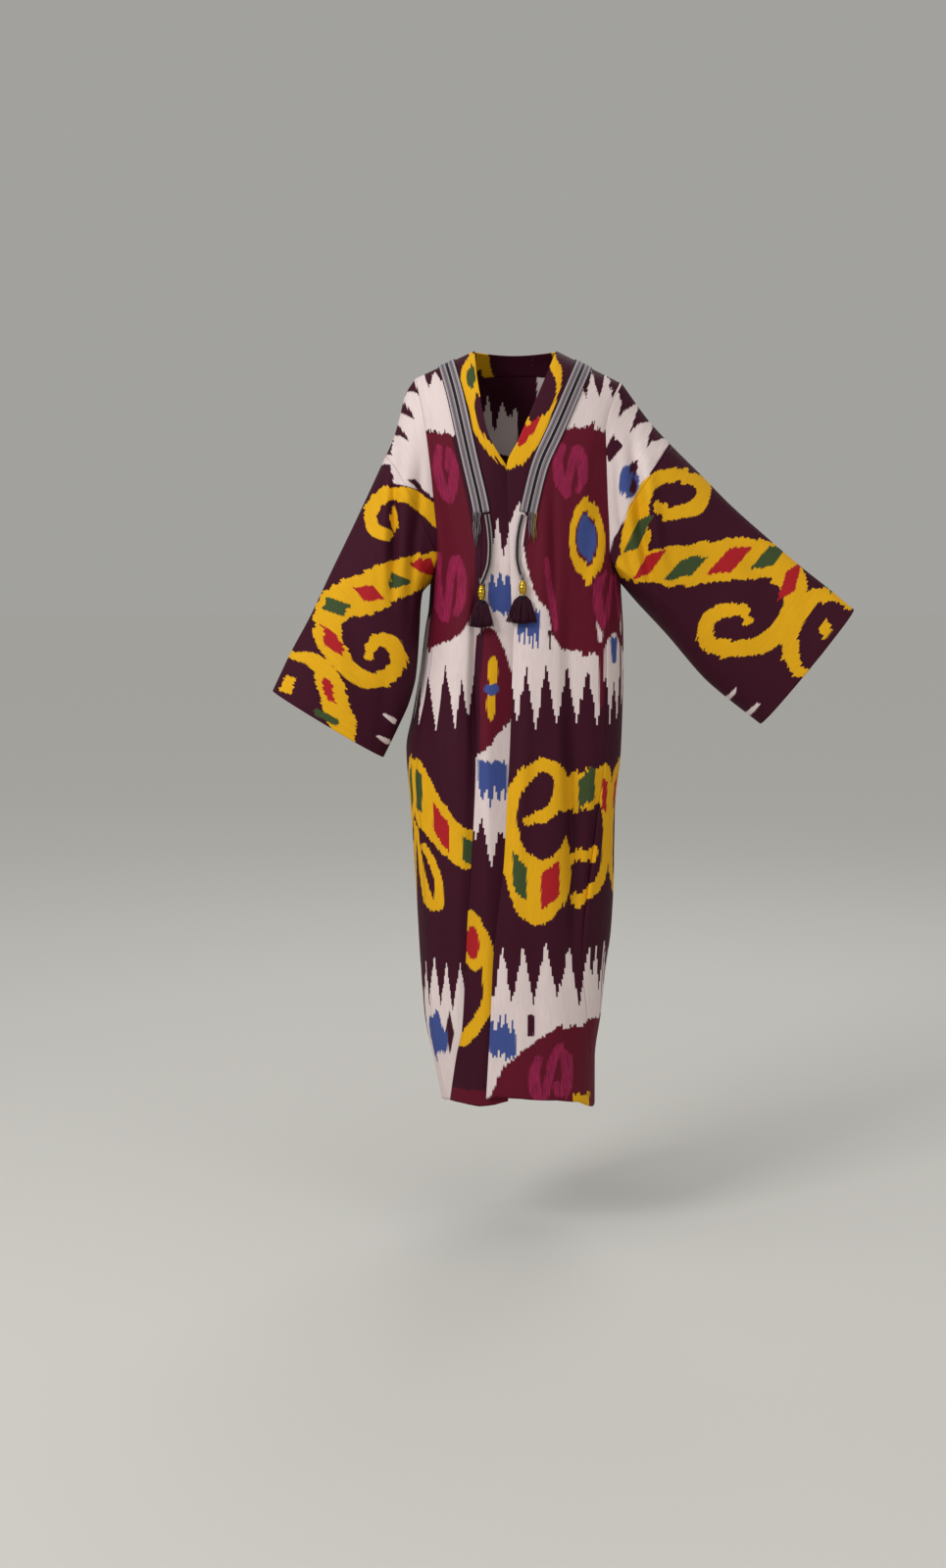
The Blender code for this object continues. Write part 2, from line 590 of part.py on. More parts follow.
BEAD = ((0.0, 0.0028), (0.0015, 0.0045), (0.006, 0.0060), (0.012, 0.0066), (0.018, 0.0060),
        (0.0225, 0.0045), (0.0240, 0.0030))
SKIRT = ((0.0, 0.0060), (0.004, 0.0085), (0.015, 0.0120), (0.030, 0.0165), (0.046, 0.0215))
SKIRT_WIDE = ((0.0, 0.0060), (0.004, 0.0088), (0.015, 0.0135), (0.030, 0.0195), (0.047, 0.0260))
GOLD, DARK = (0.75, 0.55, 0.08), (0.020, 0.004, 0.010)
for side, name, x, z, lean, skirt in ((-1, "right", -0.0570, -0.3785, 0.02, SKIRT),
                                      (1, "left", 0.0108, -0.3705, -0.05, SKIRT_WIDE)):
    y = front(x, z, side) - 0.0105
    turned("bead_" + name, (x, y, z), BEAD, 0, 1, GOLD, 0.3, 0.9)
    turned("tassel_" + name, (x, y, z - BEAD[-1][0] - 3 * SEAM), skirt, lean, 0.26, DARK, 0.8)
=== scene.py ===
import math

import bpy
import numpy as np
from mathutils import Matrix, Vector
from mathutils.bvhtree import BVHTree


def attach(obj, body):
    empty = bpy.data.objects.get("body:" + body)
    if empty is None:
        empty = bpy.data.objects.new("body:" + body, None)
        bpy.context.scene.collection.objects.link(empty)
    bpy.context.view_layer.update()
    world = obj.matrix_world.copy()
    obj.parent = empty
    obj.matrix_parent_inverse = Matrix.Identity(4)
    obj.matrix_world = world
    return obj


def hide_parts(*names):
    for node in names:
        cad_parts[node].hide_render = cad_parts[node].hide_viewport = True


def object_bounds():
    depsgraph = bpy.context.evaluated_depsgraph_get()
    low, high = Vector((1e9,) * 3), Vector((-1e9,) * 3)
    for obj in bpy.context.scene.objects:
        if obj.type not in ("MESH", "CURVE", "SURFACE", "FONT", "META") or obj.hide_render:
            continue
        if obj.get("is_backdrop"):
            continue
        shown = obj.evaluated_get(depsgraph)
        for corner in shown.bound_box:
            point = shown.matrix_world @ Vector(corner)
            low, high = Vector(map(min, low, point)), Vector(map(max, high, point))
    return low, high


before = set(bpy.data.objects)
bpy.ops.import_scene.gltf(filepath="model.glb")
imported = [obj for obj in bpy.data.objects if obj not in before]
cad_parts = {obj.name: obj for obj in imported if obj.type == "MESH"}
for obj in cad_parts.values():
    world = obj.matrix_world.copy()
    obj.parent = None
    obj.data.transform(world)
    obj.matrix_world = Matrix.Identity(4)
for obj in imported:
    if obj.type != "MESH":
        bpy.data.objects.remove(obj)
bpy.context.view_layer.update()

wallThick = 0.0016      # thickness of the woven silk-and-cotton cloth
seamGap = 0.0003        # gap between two pieces at a seam
squareness = 2.4        # squareness of the body's level rings
shoulderDrop = 0.16     # drop over which the shoulder rounds down to full depth
neckHalf = 0.0686       # half width of the neck opening at the shoulder line
bandHalf = 0.115        # neck band seam at the shoulder line
gussetZ = -0.335        # where armhole, side panel and gore meet
frontHemZ = -1.255      # height at which each front's hem line is first looked up
backHemZ = -1.284       # height of the back hem
fullTurn = 6.2832       # radians in a full turn

# height, left side, right side, front depth, back depth
bodyRings = (
    (0.060, -0.192, 0.196, 0.106, 0.101),
    (-0.100, -0.182, 0.192, 0.112, 0.104),
    (-0.200, -0.170, 0.190, 0.116, 0.108),
    (-0.300, -0.153, 0.184, 0.118, 0.110),
    (-0.375, -0.142, 0.1795, 0.119, 0.112),
    (-0.4200, -0.1445, 0.1816, 0.1195, 0.115),
    (-0.4525, -0.1500, 0.1832, 0.120, 0.117),
    (-0.530, -0.1600, 0.184, 0.122, 0.122),
    (-0.600, -0.1730, 0.1835, 0.123, 0.128),
    (-0.661, -0.1848, 0.182, 0.124, 0.134),
    (-0.760, -0.1785, 0.1725, 0.124, 0.142),
    (-0.885, -0.170, 0.1698, 0.124, 0.150),
    (-0.977, -0.1645, 0.165, 0.124, 0.156),
    (-1.050, -0.160, 0.157, 0.124, 0.160),
    (-1.117, -0.155, 0.1515, 0.123, 0.164),
    (-1.200, -0.139, 0.141, 0.121, 0.168),
    (-1.290, -0.121, 0.141, 0.118, 0.170),
)
# height, x: edges and seams of the front, wearer's right side
neckEdgeRight = (
    (0.012, -0.0686), (-0.025, -0.0654), (-0.059, -0.0605), (-0.125, -0.0476), (-0.166, -0.0267),
    (-0.182, -0.0155), (-0.250, 0.010), (-0.450, 0.026), (-0.800, 0.024), (-1.050, 0.010), (-1.275, -0.014))
bandSeamRight = (
    (-0.0105, -0.115), (-0.059, -0.1013), (-0.117, -0.0881), (-0.182, -0.0735), (-0.238, -0.0605),
    (-0.262, -0.0565), (-0.335, -0.0570), (-0.4475, -0.0638), (-0.545, -0.0690), (-0.676, -0.0668),
    (-0.775, -0.0703), (-0.866, -0.0752), (-0.933, -0.0802), (-1.025, -0.084), (-1.126, -0.089),
    (-1.176, -0.0985), (-1.275, -0.112))
goreSeamRight = (
    (-0.335, -0.131), (-0.450, -0.137), (-0.560, -0.149), (-0.660, -0.166), (-0.800, -0.159),
    (-1.000, -0.147), (-1.120, -0.141), (-1.290, -0.110))
# height, x: edges and seams of the front, wearer's left side
neckEdgeLeft = (
    (0.012, 0.0686), (-0.034, 0.0493), (-0.0925, 0.0239), (-0.1415, 0.0025), (-0.182, -0.0155),
    (-0.225, -0.0145), (-0.318, -0.0105), (-0.4475, -0.007), (-0.545, -0.0068), (-0.643, -0.0099),
    (-0.742, -0.0146), (-0.841, -0.0194), (-0.941, -0.0308), (-1.008, -0.0373), (-1.100, -0.0413),
    (-1.275, -0.0505))
bandSeamLeft = (
    (-0.0105, 0.115), (-0.059, 0.0928), (-0.125, 0.0641), (-0.182, 0.0385), (-0.238, 0.0240),
    (-0.262, 0.0190), (-0.335, 0.0090), (-0.445, -0.0030))
goreSeamLeft = (
    (-0.335, 0.157), (-0.450, 0.153), (-0.640, 0.152), (-0.800, 0.135), (-1.000, 0.114), (-1.120, 0.124),
    (-1.290, 0.136))
# height, x: back seams of the gores
backSeamRight = ((-0.335, -0.131), (-0.560, -0.145), (-0.800, -0.140), (-1.000, -0.128), (-1.290, -0.095))
backSeamLeft = ((-0.335, 0.157), (-0.560, 0.150), (-0.800, 0.137), (-1.000, 0.126), (-1.290, 0.108))
# height, x: armhole edge of the body panels
armholeRight = (
    (-0.0340, -0.1680), (-0.092, -0.1545), (-0.133, -0.148), (-0.182, -0.142), (-0.254, -0.135),
    (-0.300, -0.1315), (-0.335, -0.131))
armholeLeft = (
    (-0.0425, 0.1800), (-0.090, 0.156), (-0.124, 0.149), (-0.165, 0.150), (-0.240, 0.153), (-0.300, 0.1565),
    (-0.335, 0.157))
# x, height of the front hem
hemLineRight = (
    (-0.130, -1.268), (-0.112, -1.262), (-0.090, -1.261), (-0.060, -1.263), (-0.035, -1.259),
    (-0.010, -1.252))
hemLineLeft = (
    (-0.055, -1.247), (-0.030, -1.244), (0.010, -1.245), (0.070, -1.251), (0.110, -1.260), (0.140, -1.282))
# sleeve lines from armhole to cuff, x and z: top fold, then under fold
topFoldLeft = (
    (0.180, -0.0425), (0.2243, -0.1022), (0.2568, -0.1375), (0.3137, -0.1934), (0.3668, -0.2470),
    (0.4240, -0.2976), (0.4895, -0.3530), (0.5306, -0.3850), (0.5760, -0.4224))
underFoldLeft = (
    (0.1795, -0.375), (0.2067, -0.4067), (0.2599, -0.4633), (0.3257, -0.5395), (0.3500, -0.5610),
    (0.4205, -0.6162))
topFoldRight = (
    (-0.168, -0.034), (-0.1846, -0.0612), (-0.1945, -0.1000), (-0.2045, -0.1342), (-0.2237, -0.1769),
    (-0.2677, -0.2720), (-0.3120, -0.3632), (-0.3453, -0.4324), (-0.3790, -0.4943), (-0.4098, -0.5582))
underFoldRight = (
    (-0.142, -0.375), (-0.1580, -0.395), (-0.1610, -0.4200), (-0.1625, -0.4525), (-0.1680, -0.5300),
    (-0.1790, -0.5750), (-0.1965, -0.6150), (-0.2237, -0.6705))
# share of the way to the cuff, half depth, forward shift
sleeveFormLeft = ((0.00, 0.085, 0.000), (0.30, 0.072, 0.004), (0.60, 0.056, -0.006), (1.00, 0.044, -0.014))
sleeveFormRight = (
    (0.00, 0.085, 0.000), (0.25, 0.070, -0.020), (0.60, 0.054, -0.044), (1.00, 0.042, -0.046))
headTop = 0.245    # share of the sleeve's top line that the head piece takes
ringKnots = (0, 0.045, 0.12, 0.22, 0.34, 0.47, 0.62, 0.775, 0.89, 1.0)
upperRows = np.concatenate([0.12 * np.linspace(0, 1, 13) ** 2, np.linspace(0.12, 1, 54)[1:]])
bandTail, bandShare = 23, 0.1254        # rows and share below the gusset, down to the left band's end
lowerRows = np.concatenate([np.linspace(0, bandShare, bandTail + 1), np.linspace(bandShare, 1, 165)[1:]])


def along(rows, at, column=1):
    t = np.asarray(rows, float)
    k, v = t[:, 0], t[:, column]
    if k[0] > k[-1]:
        k, v = k[::-1], v[::-1]
    d = np.diff(v) / np.diff(k)
    m = np.concatenate([[d[0]], np.where(d[1:] * d[:-1] > 0, 2 * d[1:] * d[:-1]
                        / np.where(d[1:] + d[:-1] == 0, 1, d[1:] + d[:-1]), 0), [d[-1]]])
    a = np.clip(np.asarray(at, float), k[0], k[-1])
    i = np.clip(np.searchsorted(k, a, side="right") - 1, 0, len(k) - 2)
    h = k[i + 1] - k[i]
    s = (a - k[i]) / h
    return ((2 * s**3 - 3 * s**2 + 1) * v[i] + (s**3 - 2 * s**2 + s) * h * m[i]
            + (3 * s**2 - 2 * s**3) * v[i + 1] + (s**3 - s**2) * h * m[i + 1])


def unit(v, least=1e-9):
    return v / np.maximum(np.linalg.norm(v, axis=-1, keepdims=True), least)


def runOf(points):
    # length along a line of points, from 0 at its first
    return np.concatenate([[0], np.cumsum(np.linalg.norm(np.diff(points, axis=0), axis=1))])


def toLine(x, z, a, b):
    # share of the way from a to b that lies nearest, and the distance to it
    dx, dz = b[0] - a[0], b[1] - a[1]
    t = np.clip(((x - a[0]) * dx + (z - a[1]) * dz) / max(dx**2 + dz**2, 1e-9), 0, 1)
    return t, np.hypot(x - a[0] - t * dx, z - a[1] - t * dz)


def smooth(x):
    x = np.clip(x, 0, 1)
    return x * x * (3 - 2 * x)


def bell(x, middle, width):
    return np.exp(-((x - middle) / width) ** 2)


# height at the neck, run and drop of the seam to each tip, rise of the nape between the two seams
shoulder = {"height": 0.012, "runLeft": 0.1114, "runRight": 0.0994, "dropLeft": 0.0545, "dropRight": 0.0460,
            "nape": 0.030}


def ridge(x):
    # height of the shoulder seam
    out = np.abs(x) - neckHalf
    run = np.where(x > 0, shoulder["runLeft"], shoulder["runRight"])
    drop = np.where(x > 0, shoulder["dropLeft"], shoulder["dropRight"])
    return shoulder["height"] - drop * np.clip(out, 0, None) / run


def bodySpan(z):
    # middle and half width of the body at a height
    left, right = along(bodyRings, z, 1), along(bodyRings, z, 2)
    return (left + right) / 2, (right - left) / 2


def depth(x, z, column):
    middle, half = bodySpan(z)
    e = np.abs((x - middle) / half)
    return along(bodyRings, z, column) * np.clip(1 - e**squareness, 0, 1) ** (1 / squareness)


def rounding(d):
    return np.sqrt(1 - (1 - np.clip(d / shoulderDrop, 0, 1)) ** 2)


# each front moves by step where they lap: top and run of that going down, edge and run on each side
lap = {"step": 0.0045, "top": -0.10, "run": 0.10, "left": 0.045, "leftRun": 0.05, "right": -0.050,
       "rightRun": 0.035}
# left front's fold and right front's strip seam: share, place and half width of the swell beside them,
# start and run of the fall, place and run of the end
foldShape = {"swell": 0.5, "beside": 0.022, "half": 0.022, "start": 0.006, "fall": 0.022, "end": 0.03,
             "endRun": 0.05}
seamShape = {"swell": 0.6, "beside": 0.028, "half": 0.020, "start": 0.016, "fall": 0.020}


def front(x, z, side):
    # y of the front cloth; side is 1 for the wearer's left front and -1 for the right one
    y = -depth(x, z, 3) * rounding(ridge(x) - z)
    low = smooth((lap["top"] - z) / lap["run"])
    if side > 0:
        s, fold, deep = foldShape, along(lapFold, z, 1), along(lapFold, z, 2)
        y = y - lap["step"] * (low * (1 - smooth((x - lap["left"]) / lap["leftRun"])))
        y = y - deep * s["swell"] * bell(x, fold - s["beside"], s["half"])
        return y + deep * smooth((x - fold + s["start"]) / s["fall"]) \
            * (1 - smooth((x - fold - s["end"]) / s["endRun"]))
    s, seam, deep = seamShape, along(bandSeamRight, z), along(stripStep, z, 1)
    y = y + lap["step"] * low * smooth((x - lap["right"]) / lap["rightRun"])
    y = y - s["swell"] * deep * bell(x, seam - s["beside"], s["half"])
    return y + deep * smooth((x - seam + s["start"]) / s["fall"])


# height, line of the soft fold, its depth: wearer's left front
lapFold = (
    (-0.30, 0.072, 0.0), (-0.45, 0.074, 0.006), (-0.66, 0.078, 0.010), (-0.80, 0.086, 0.010),
    (-0.92, 0.093, 0.006), (-1.05, 0.095, 0.0))
# height, step at the strip seam: wearer's right front
stripStep = (
    (-0.34, 0.0), (-0.45, 0.010), (-0.60, 0.014), (-0.72, 0.012), (-0.85, 0.007), (-1.10, 0.004),
    (-1.28, 0.003))


def nape(x):
    # top line of the back cloth
    return ridge(x) + shoulder["nape"] * np.clip(1 - (x / neckHalf) ** 2, 0, 1)


def back(x, z):
    return depth(x, z, 4) * rounding(nape(x) - z)


def backHeight(x, y):
    z = np.zeros_like(x)
    for _ in range(12):
        full = np.maximum(depth(x, z, 4), 1e-6)
        share = np.clip(y / full, 0, 0.98)
        z = nape(x) - shoulderDrop * (1 - np.sqrt(1 - share**2))
    return z


def mix(a, b, t):
    return a + (b - a) * t


def frontRows(edgeA, edgeB, hem, count, side):
    # level rows from the shoulder seam to the hem, between two edges
    rows = []
    topA, topB = edgeA[0], edgeB[0]
    u = np.linspace(0, 1, count + 1)
    for w in upperRows:
        za, zb = mix(topA[0], gussetZ, w), mix(topB[0], gussetZ, w)
        x = mix(along(edgeA, za), along(edgeB, zb), u)
        z = mix(za, zb, u) if w else ridge(x)
        rows.append(np.stack([x, front(x, z, side) if w else 0 * x, z], 1))
    for t in lowerRows[1:]:
        z = np.full(count + 1, mix(gussetZ, frontHemZ, t))
        for _ in range(3):
            x = mix(along(edgeA, z[0]), along(edgeB, z[-1]), u)
            z = mix(gussetZ, np.interp(x, *zip(*hem)), t)
        rows.append(np.stack([x, front(x, z, side), z], 1))
    return np.array(rows)


def join(head, tail):
    return tuple(head) + tuple(r for r in tail if r[0] < head[-1][0])


outerEdgeRight = join(armholeRight, goreSeamRight)
outerEdgeLeft = join(armholeLeft, goreSeamLeft)
openEdgeLeft = join(bandSeamLeft, [(z, x) for z, x in neckEdgeLeft if z < -0.46])

mainRight = frontRows(outerEdgeRight, bandSeamRight, hemLineRight, 38, -1)
stripRight = frontRows(bandSeamRight, neckEdgeRight, hemLineRight, 30, -1)
bandAll = frontRows(neckEdgeLeft, bandSeamLeft + ((-1.28, -0.0505),), hemLineLeft, 18, 1)
bandRows = len(upperRows) + bandTail
bandLeft = bandAll[:bandRows]
mainLeft = frontRows(openEdgeLeft, outerEdgeLeft, hemLineLeft, 56, 1)
mainLeft[:bandRows, 0] = bandLeft[:, -1]

# back band round the neck, from the wearer's left shoulder to the right one
turn = np.linspace(0, math.pi, 81)
napeDepths = (0.062, 0.083)     # how far back the band's inner and outer lines reach
bandBack = []
for share in (bandLeft[0, :, 0] - neckHalf) / (bandHalf - neckHalf):
    x = mix(neckHalf, bandHalf, share) * np.cos(turn)
    y = mix(*napeDepths, share) * np.sin(turn)
    z = backHeight(x, y)
    z[[0, -1]] = ridge(x[[0, -1]])
    y[[0, -1]] = 0
    bandBack.append(np.stack([x, y, z], 1))
bandBack = np.array(bandBack)
bandBack[:, 0] = bandLeft[0]

# back panel: its top line is both shoulder seams and the seam of the band
topLine = np.concatenate([mainLeft[0, ::-1], bandBack[-1, 1:-1], mainRight[0, ::-1]])[::-1]
u = np.linspace(1, 0, 110)
topX = mix(topLine[0, 0], topLine[-1, 0], u)
top = np.stack([topX] + [np.interp(topX, topLine[:, 0], topLine[:, c]) for c in (1, 2)], 1)
rows = [top]
for w in upperRows[1:]:
    z = mix(top[:, 2], gussetZ, w)
    xl, xr = along(armholeLeft, z[0]), along(armholeRight, z[-1])
    x = mix(xr, xl, u)
    rows.append(np.stack([x, back(x, z), z], 1))
for t in lowerRows[1:]:
    z = np.full(len(top), mix(gussetZ, backHemZ, t))
    x = mix(along(backSeamRight, z[0]), along(backSeamLeft, z[0]), u)
    rows.append(np.stack([x, back(x, z), z], 1))
backPanel = np.array(rows)


def ringAngle(x, z, column):
    middle, half = bodySpan(z)
    e = np.clip((x - middle) / half, -1, 1)
    c = np.sign(e) * np.abs(e) ** (squareness / 2)
    return math.acos(c) * (-1 if column == 3 else 1)


def ringPoint(angle, z):
    middle, half = bodySpan(z)
    c, s = math.cos(angle), math.sin(angle)
    x = middle + half * math.copysign(abs(c) ** (2 / squareness), c)
    y = math.copysign(abs(s) ** (2 / squareness), s) * along(bodyRings, z, 3 if s < 0 else 4)
    return x, y, z


goreSag = {"deep": 0.040, "fade": 3.2}      # dip of the gusset between its seams, how soon it ends


def gore(frontEdge, backEdge, count, sign):
    # gusset row and the rows below it, round the side from front edge to back edge
    rows = []
    for j in range(last, len(frontEdge)):
        f, b = frontEdge[j], backEdge[j]
        af, ab = ringAngle(f[0], f[2], 3), ringAngle(b[0], b[2], 4)
        if sign < 0:
            af = af + 2 * math.pi
        t = (j - last) / (len(frontEdge) - 1 - last)
        row = []
        for k in np.arange(count + 1) / count:
            dip = goreSag["deep"] * math.sin(math.pi * k) * max(0, 1 - t * goreSag["fade"]) ** 2
            z = mix(f[2], b[2], k) - dip
            row.append(ringPoint(mix(af, ab, k), float(z)))
        row[0], row[-1] = f, b
        rows.append(row)
    return np.array(rows)


goreColumns = 48
last = len(upperRows) - 1       # the row at the gusset
goreLeft = gore(mainLeft[:, -1], backPanel[:, 0], goreColumns, 1)
goreRight = gore(mainRight[:, 0], backPanel[:, -1], goreColumns, -1)[:, ::-1]
ringLeft = np.concatenate([mainLeft[:last, -1], goreLeft[0], backPanel[last - 1:0:-1, 0]])
ringRight = np.concatenate([mainRight[:last, 0], goreRight[0, ::-1],
                             backPanel[last - 1:0:-1, -1]])


def lineAt(points, share):
    p = np.asarray(points, float)
    run = runOf(p)
    k = run / run[-1]
    return np.stack([along(np.stack([k, p[:, c]], 1), share) for c in range(2)], -1)


knotAt = np.interp(upperRows, ringKnots, range(10))
around = np.concatenate([knotAt[:last], 9 + 6 * np.linspace(0, 1, goreColumns + 1),
                         24 - knotAt[last - 1:0:-1]])


# shares of the way to the cuff by which the rings are round and by which they leave the armhole's shape
sleeveWork = {"round": 0.55, "leave": 0.22, "fullness": 0.85, "headRings": 45, "mainRings": 172}


def sleeve(ring, topLine, lowLine, form, shares):
    # rings from the armhole to the cuff, between the top fold and the under fold
    zt, zl = topLine[0][1], lowLine[0][1]
    q0 = (ring[:, 2] - zt) / (zl - zt)
    theta = math.pi * around / 12
    q1 = (1 - np.cos(theta)) / 2
    backSide = np.where(around > 12, 1.0, -1.0)
    x0 = mix(topLine[0][0], lowLine[0][0], q0)
    grid = []
    for s in shares:
        b = smooth(s / sleeveWork["round"])
        a, c = lineAt(topLine, s), lineAt(lowLine, s)
        p = mix(a, c, mix(q0, q1, b)[:, None])
        half, shift = along(form, s, 1), along(form, s, 2)
        y = mix(ring[:, 1], backSide * half * np.abs(np.sin(theta)) ** sleeveWork["fullness"], b) + shift
        x = p[:, 0] + (ring[:, 0] - x0) * (1 - smooth(s / sleeveWork["leave"]))
        grid.append(np.stack([x, y, p[:, 1]], 1))
    return np.array(grid)


def headShare(ring, zt, zl):
    q = (ring[:, 2] - zt) / (zl - zt)
    k = np.minimum(np.arange(len(q)), len(q) - np.arange(len(q)))
    return np.where(k < last, headTop * np.clip(1 - q / q[last], 0, 1), 0)


over = np.arange(-last, last + 1)       # ring places that the head piece covers


def both(ring, topLine, lowLine, form):
    # the sleeve's head piece and its main piece
    h = headShare(ring, topLine[0][1], lowLine[0][1])
    head = np.array([h * t for t in np.linspace(0, 1, sleeveWork["headRings"])])
    main = np.array([mix(h, np.ones_like(h), t) for t in np.linspace(0, 1, sleeveWork["mainRings"])])
    head = sleeve(ring, topLine, lowLine, form, head)[:, over]
    main = sleeve(ring, topLine, lowLine, form, main)
    head[0], main[0, last:len(ring) - last + 1] = ring[over], ring[last:len(ring) - last + 1]
    main[0, over] = head[-1]
    return head, main


headLeft, sleeveLeft = both(ringLeft, topFoldLeft, underFoldLeft, sleeveFormLeft)
headRight, sleeveRight = both(ringRight, topFoldRight, underFoldRight, sleeveFormRight)

print("cloth lines ready")

# soft creases in cm: depth (+ stands out), half width, line of x and z; one list for each side
creases = {
    "front": [
        (0.55, 1.3, ((1.5, -44), (2.2, -52), (2.0, -60), (1.2, -70), (0.4, -84), (-0.6, -98))),
        (-0.45, 1.6, ((5.2, -42), (6.0, -54), (5.6, -66), (5.8, -80))),
        (-0.85, 1.6, ((8.4, -46), (8.8, -58), (9.4, -70), (9.9, -86), (10.2, -101))),
        (0.50, 1.7, ((11.6, -54), (12.6, -68), (12.8, -84), (12.6, -97))),
        (-0.35, 1.3, ((14.6, -40), (15.2, -52), (15.0, -64))),
        (0.35, 1.5, ((15.2, -98), (14.2, -110), (13.6, -121))),
        (-0.40, 1.6, ((2.6, -96), (3.4, -108), (4.0, -120))),
        (0.30, 1.8, ((7.6, -104), (8.2, -116), (8.4, -125))),
        (-0.35, 1.2, ((-7.8, -40), (-8.4, -52), (-8.6, -66), (-8.4, -80))),
        (0.40, 1.6, ((-11.2, -38), (-11.8, -50), (-12.6, -62), (-12.0, -76))),
        (-0.40, 1.5, ((-14.6, -52), (-15.2, -64), (-14.4, -78), (-13.6, -92))),
        (-0.35, 1.3, ((-11.0, -92), (-11.4, -106), (-11.8, -121))),
        (0.35, 1.4, ((-9.2, -84), (-9.6, -100), (-10.4, -118))),
        (-0.75, 0.7, ((-6.9, -34), (-6.9, -48), (-7.2, -64), (-7.5, -80))),
        (-0.70, 0.8, ((6.0, -20), (6.2, -28), (6.4, -37), (6.0, -47))),
        (0.35, 0.9, ((4.4, -24), (4.4, -34), (4.0, -44))),
        (-0.80, 0.7, ((8.6, -60), (9.0, -74), (9.4, -88), (9.8, -100))),
        (0.25, 1.0, ((-13.4, -8), (-12.2, -18), (-11.4, -30))),
        (-0.30, 1.1, ((-14.2, -20), (-12.4, -27), (-10.9, -35))),
        (0.25, 1.1, ((13.2, -9), (11.4, -19), (10.2, -30))),
        (-0.30, 1.2, ((15.0, -22), (12.8, -28), (11.2, -36))),
        (0.30, 0.9, ((15.2, -32), (13.4, -35), (11.8, -40))),
        (-0.25, 0.9, ((-3.0, -24), (-2.6, -34), (-3.4, -44))),
        (0.30, 1.0, ((-4.6, -50), (-4.8, -64), (-4.6, -80), (-5.2, -96))),
    ],
    "back": [
        (-0.14, 0.45, ((0.8, -3.0), (0.8, -60), (0.8, -126))),
        (0.60, 2.0, ((1.0, -30), (0.6, -55), (1.2, -85), (1.0, -122))),
        (-0.55, 1.8, ((4.8, -42), (5.6, -66), (6.2, -92), (6.6, -120))),
        (0.45, 1.7, ((9.4, -36), (9.9, -60), (9.2, -88), (9.6, -118))),
        (-0.50, 1.8, ((-3.4, -38), (-3.8, -62), (-3.0, -90), (-2.6, -121))),
        (0.50, 1.6, ((-7.6, -40), (-8.2, -66), (-7.4, -94), (-6.8, -119))),
        (-0.35, 1.3, ((-10.6, -34), (-11.4, -58), (-10.4, -82))),
        (-0.35, 1.4, ((13.2, -30), (12.8, -52), (12.0, -78))),
        (0.35, 1.2, ((13.6, -14), (9.6, -22), (4.8, -27))),
        (-0.30, 1.1, ((-12.0, -13), (-8.0, -20), (-2.6, -24))),
        (0.30, 1.2, ((12.6, -24), (8.6, -31), (5.0, -40))),
        (0.30, 1.2, ((-11.2, -23), (-7.2, -30), (-4.2, -38))),
    ],
    "sleeveLeft": [
        (-1.45, 1.0, ((19.2, -12), (19.9, -20), (20.9, -29), (22.6, -37), (25.6, -44))),
        (1.05, 1.2, ((21.6, -15), (22.4, -23), (23.6, -31), (25.8, -38))),
        (-0.65, 0.9, ((16.4, -14), (16.9, -24), (18.2, -31), (20.2, -38), (23.4, -44.5))),
        (0.45, 1.0, ((17.4, -33), (19.6, -37.5), (22.6, -42))),
        (-0.40, 1.5, ((27.0, -30), (33.0, -36.5), (38.5, -44))),
        (0.40, 1.6, ((30.5, -27), (37.5, -35), (43.0, -43))),
        (-0.30, 1.5, ((38.0, -33), (44.5, -41), (49.5, -50))),
        (0.30, 1.4, ((36.5, -49), (39.5, -54), (42.0, -59))),
        (0.25, 1.2, ((50.0, -40), (51.5, -46), (51.0, -52))),
    ],
    "sleeveRight": [
        (-1.15, 0.7, ((-19.9, -11), (-20.2, -21), (-20.3, -29), (-20.4, -41))),
        (0.70, 0.9, ((-21.6, -15), (-21.8, -24), (-21.9, -33), (-21.9, -42))),
        (0.50, 1.1, ((-18.3, -15), (-18.1, -24), (-18.4, -33), (-18.8, -42))),
        (0.50, 1.3, ((-23.0, -24), (-23.8, -33), (-24.4, -43))),
        (-0.70, 0.9, ((-15.2, -14), (-16.0, -24), (-17.0, -31), (-17.6, -39), (-17.9, -47))),
        (0.35, 1.0, ((-15.4, -33), (-16.6, -38), (-17.2, -44))),
        (-0.40, 1.4, ((-26.6, -33), (-27.0, -43), (-25.8, -54))),
        (0.35, 1.4, ((-30.6, -40), (-29.6, -50), (-27.4, -60))),
        (-0.25, 1.2, ((-34.6, -46), (-33.6, -53), (-31.4, -60))),
        (-0.30, 1.2, ((-21.4, -50), (-22.0, -57), (-22.8, -64))),
    ],
}


def nearLine(x, z, points):
    # distance to a line of points and the share of the way along it
    p = np.asarray(points, float)
    run = runOf(p)
    best = np.full(x.shape, 1e9)
    share = np.zeros(x.shape)
    for a, b, start, end in zip(p, p[1:], run, run[1:]):
        t, d = toLine(x, z, a, b)
        share = np.where(d < best, mix(start, end, t) / run[-1], share)
        best = np.minimum(d, best)
    return best, share


def creaseHeight(grid, lines):
    x, z = grid[..., 0] * 100, grid[..., 2] * 100
    out = np.zeros(x.shape)
    for deep, wide, points in lines:
        d, share = nearLine(x, z, points)
        out += deep * np.exp(-((d / wide) ** 2)) * np.sin(math.pi * np.clip(share, 0.02, 0.98)) ** 0.7
    return out / 100


hang = {"ripple": 0.0016, "goreRipple": 0.0022, "waves": 7, "across": (14, 75), "down": (2, 16), "even": 22,
        "shoulderReach": 0.12, "seamReach": 7, "goreReach": 9, "sleeveReach": 0.035, "sleeveBack": 0.8}


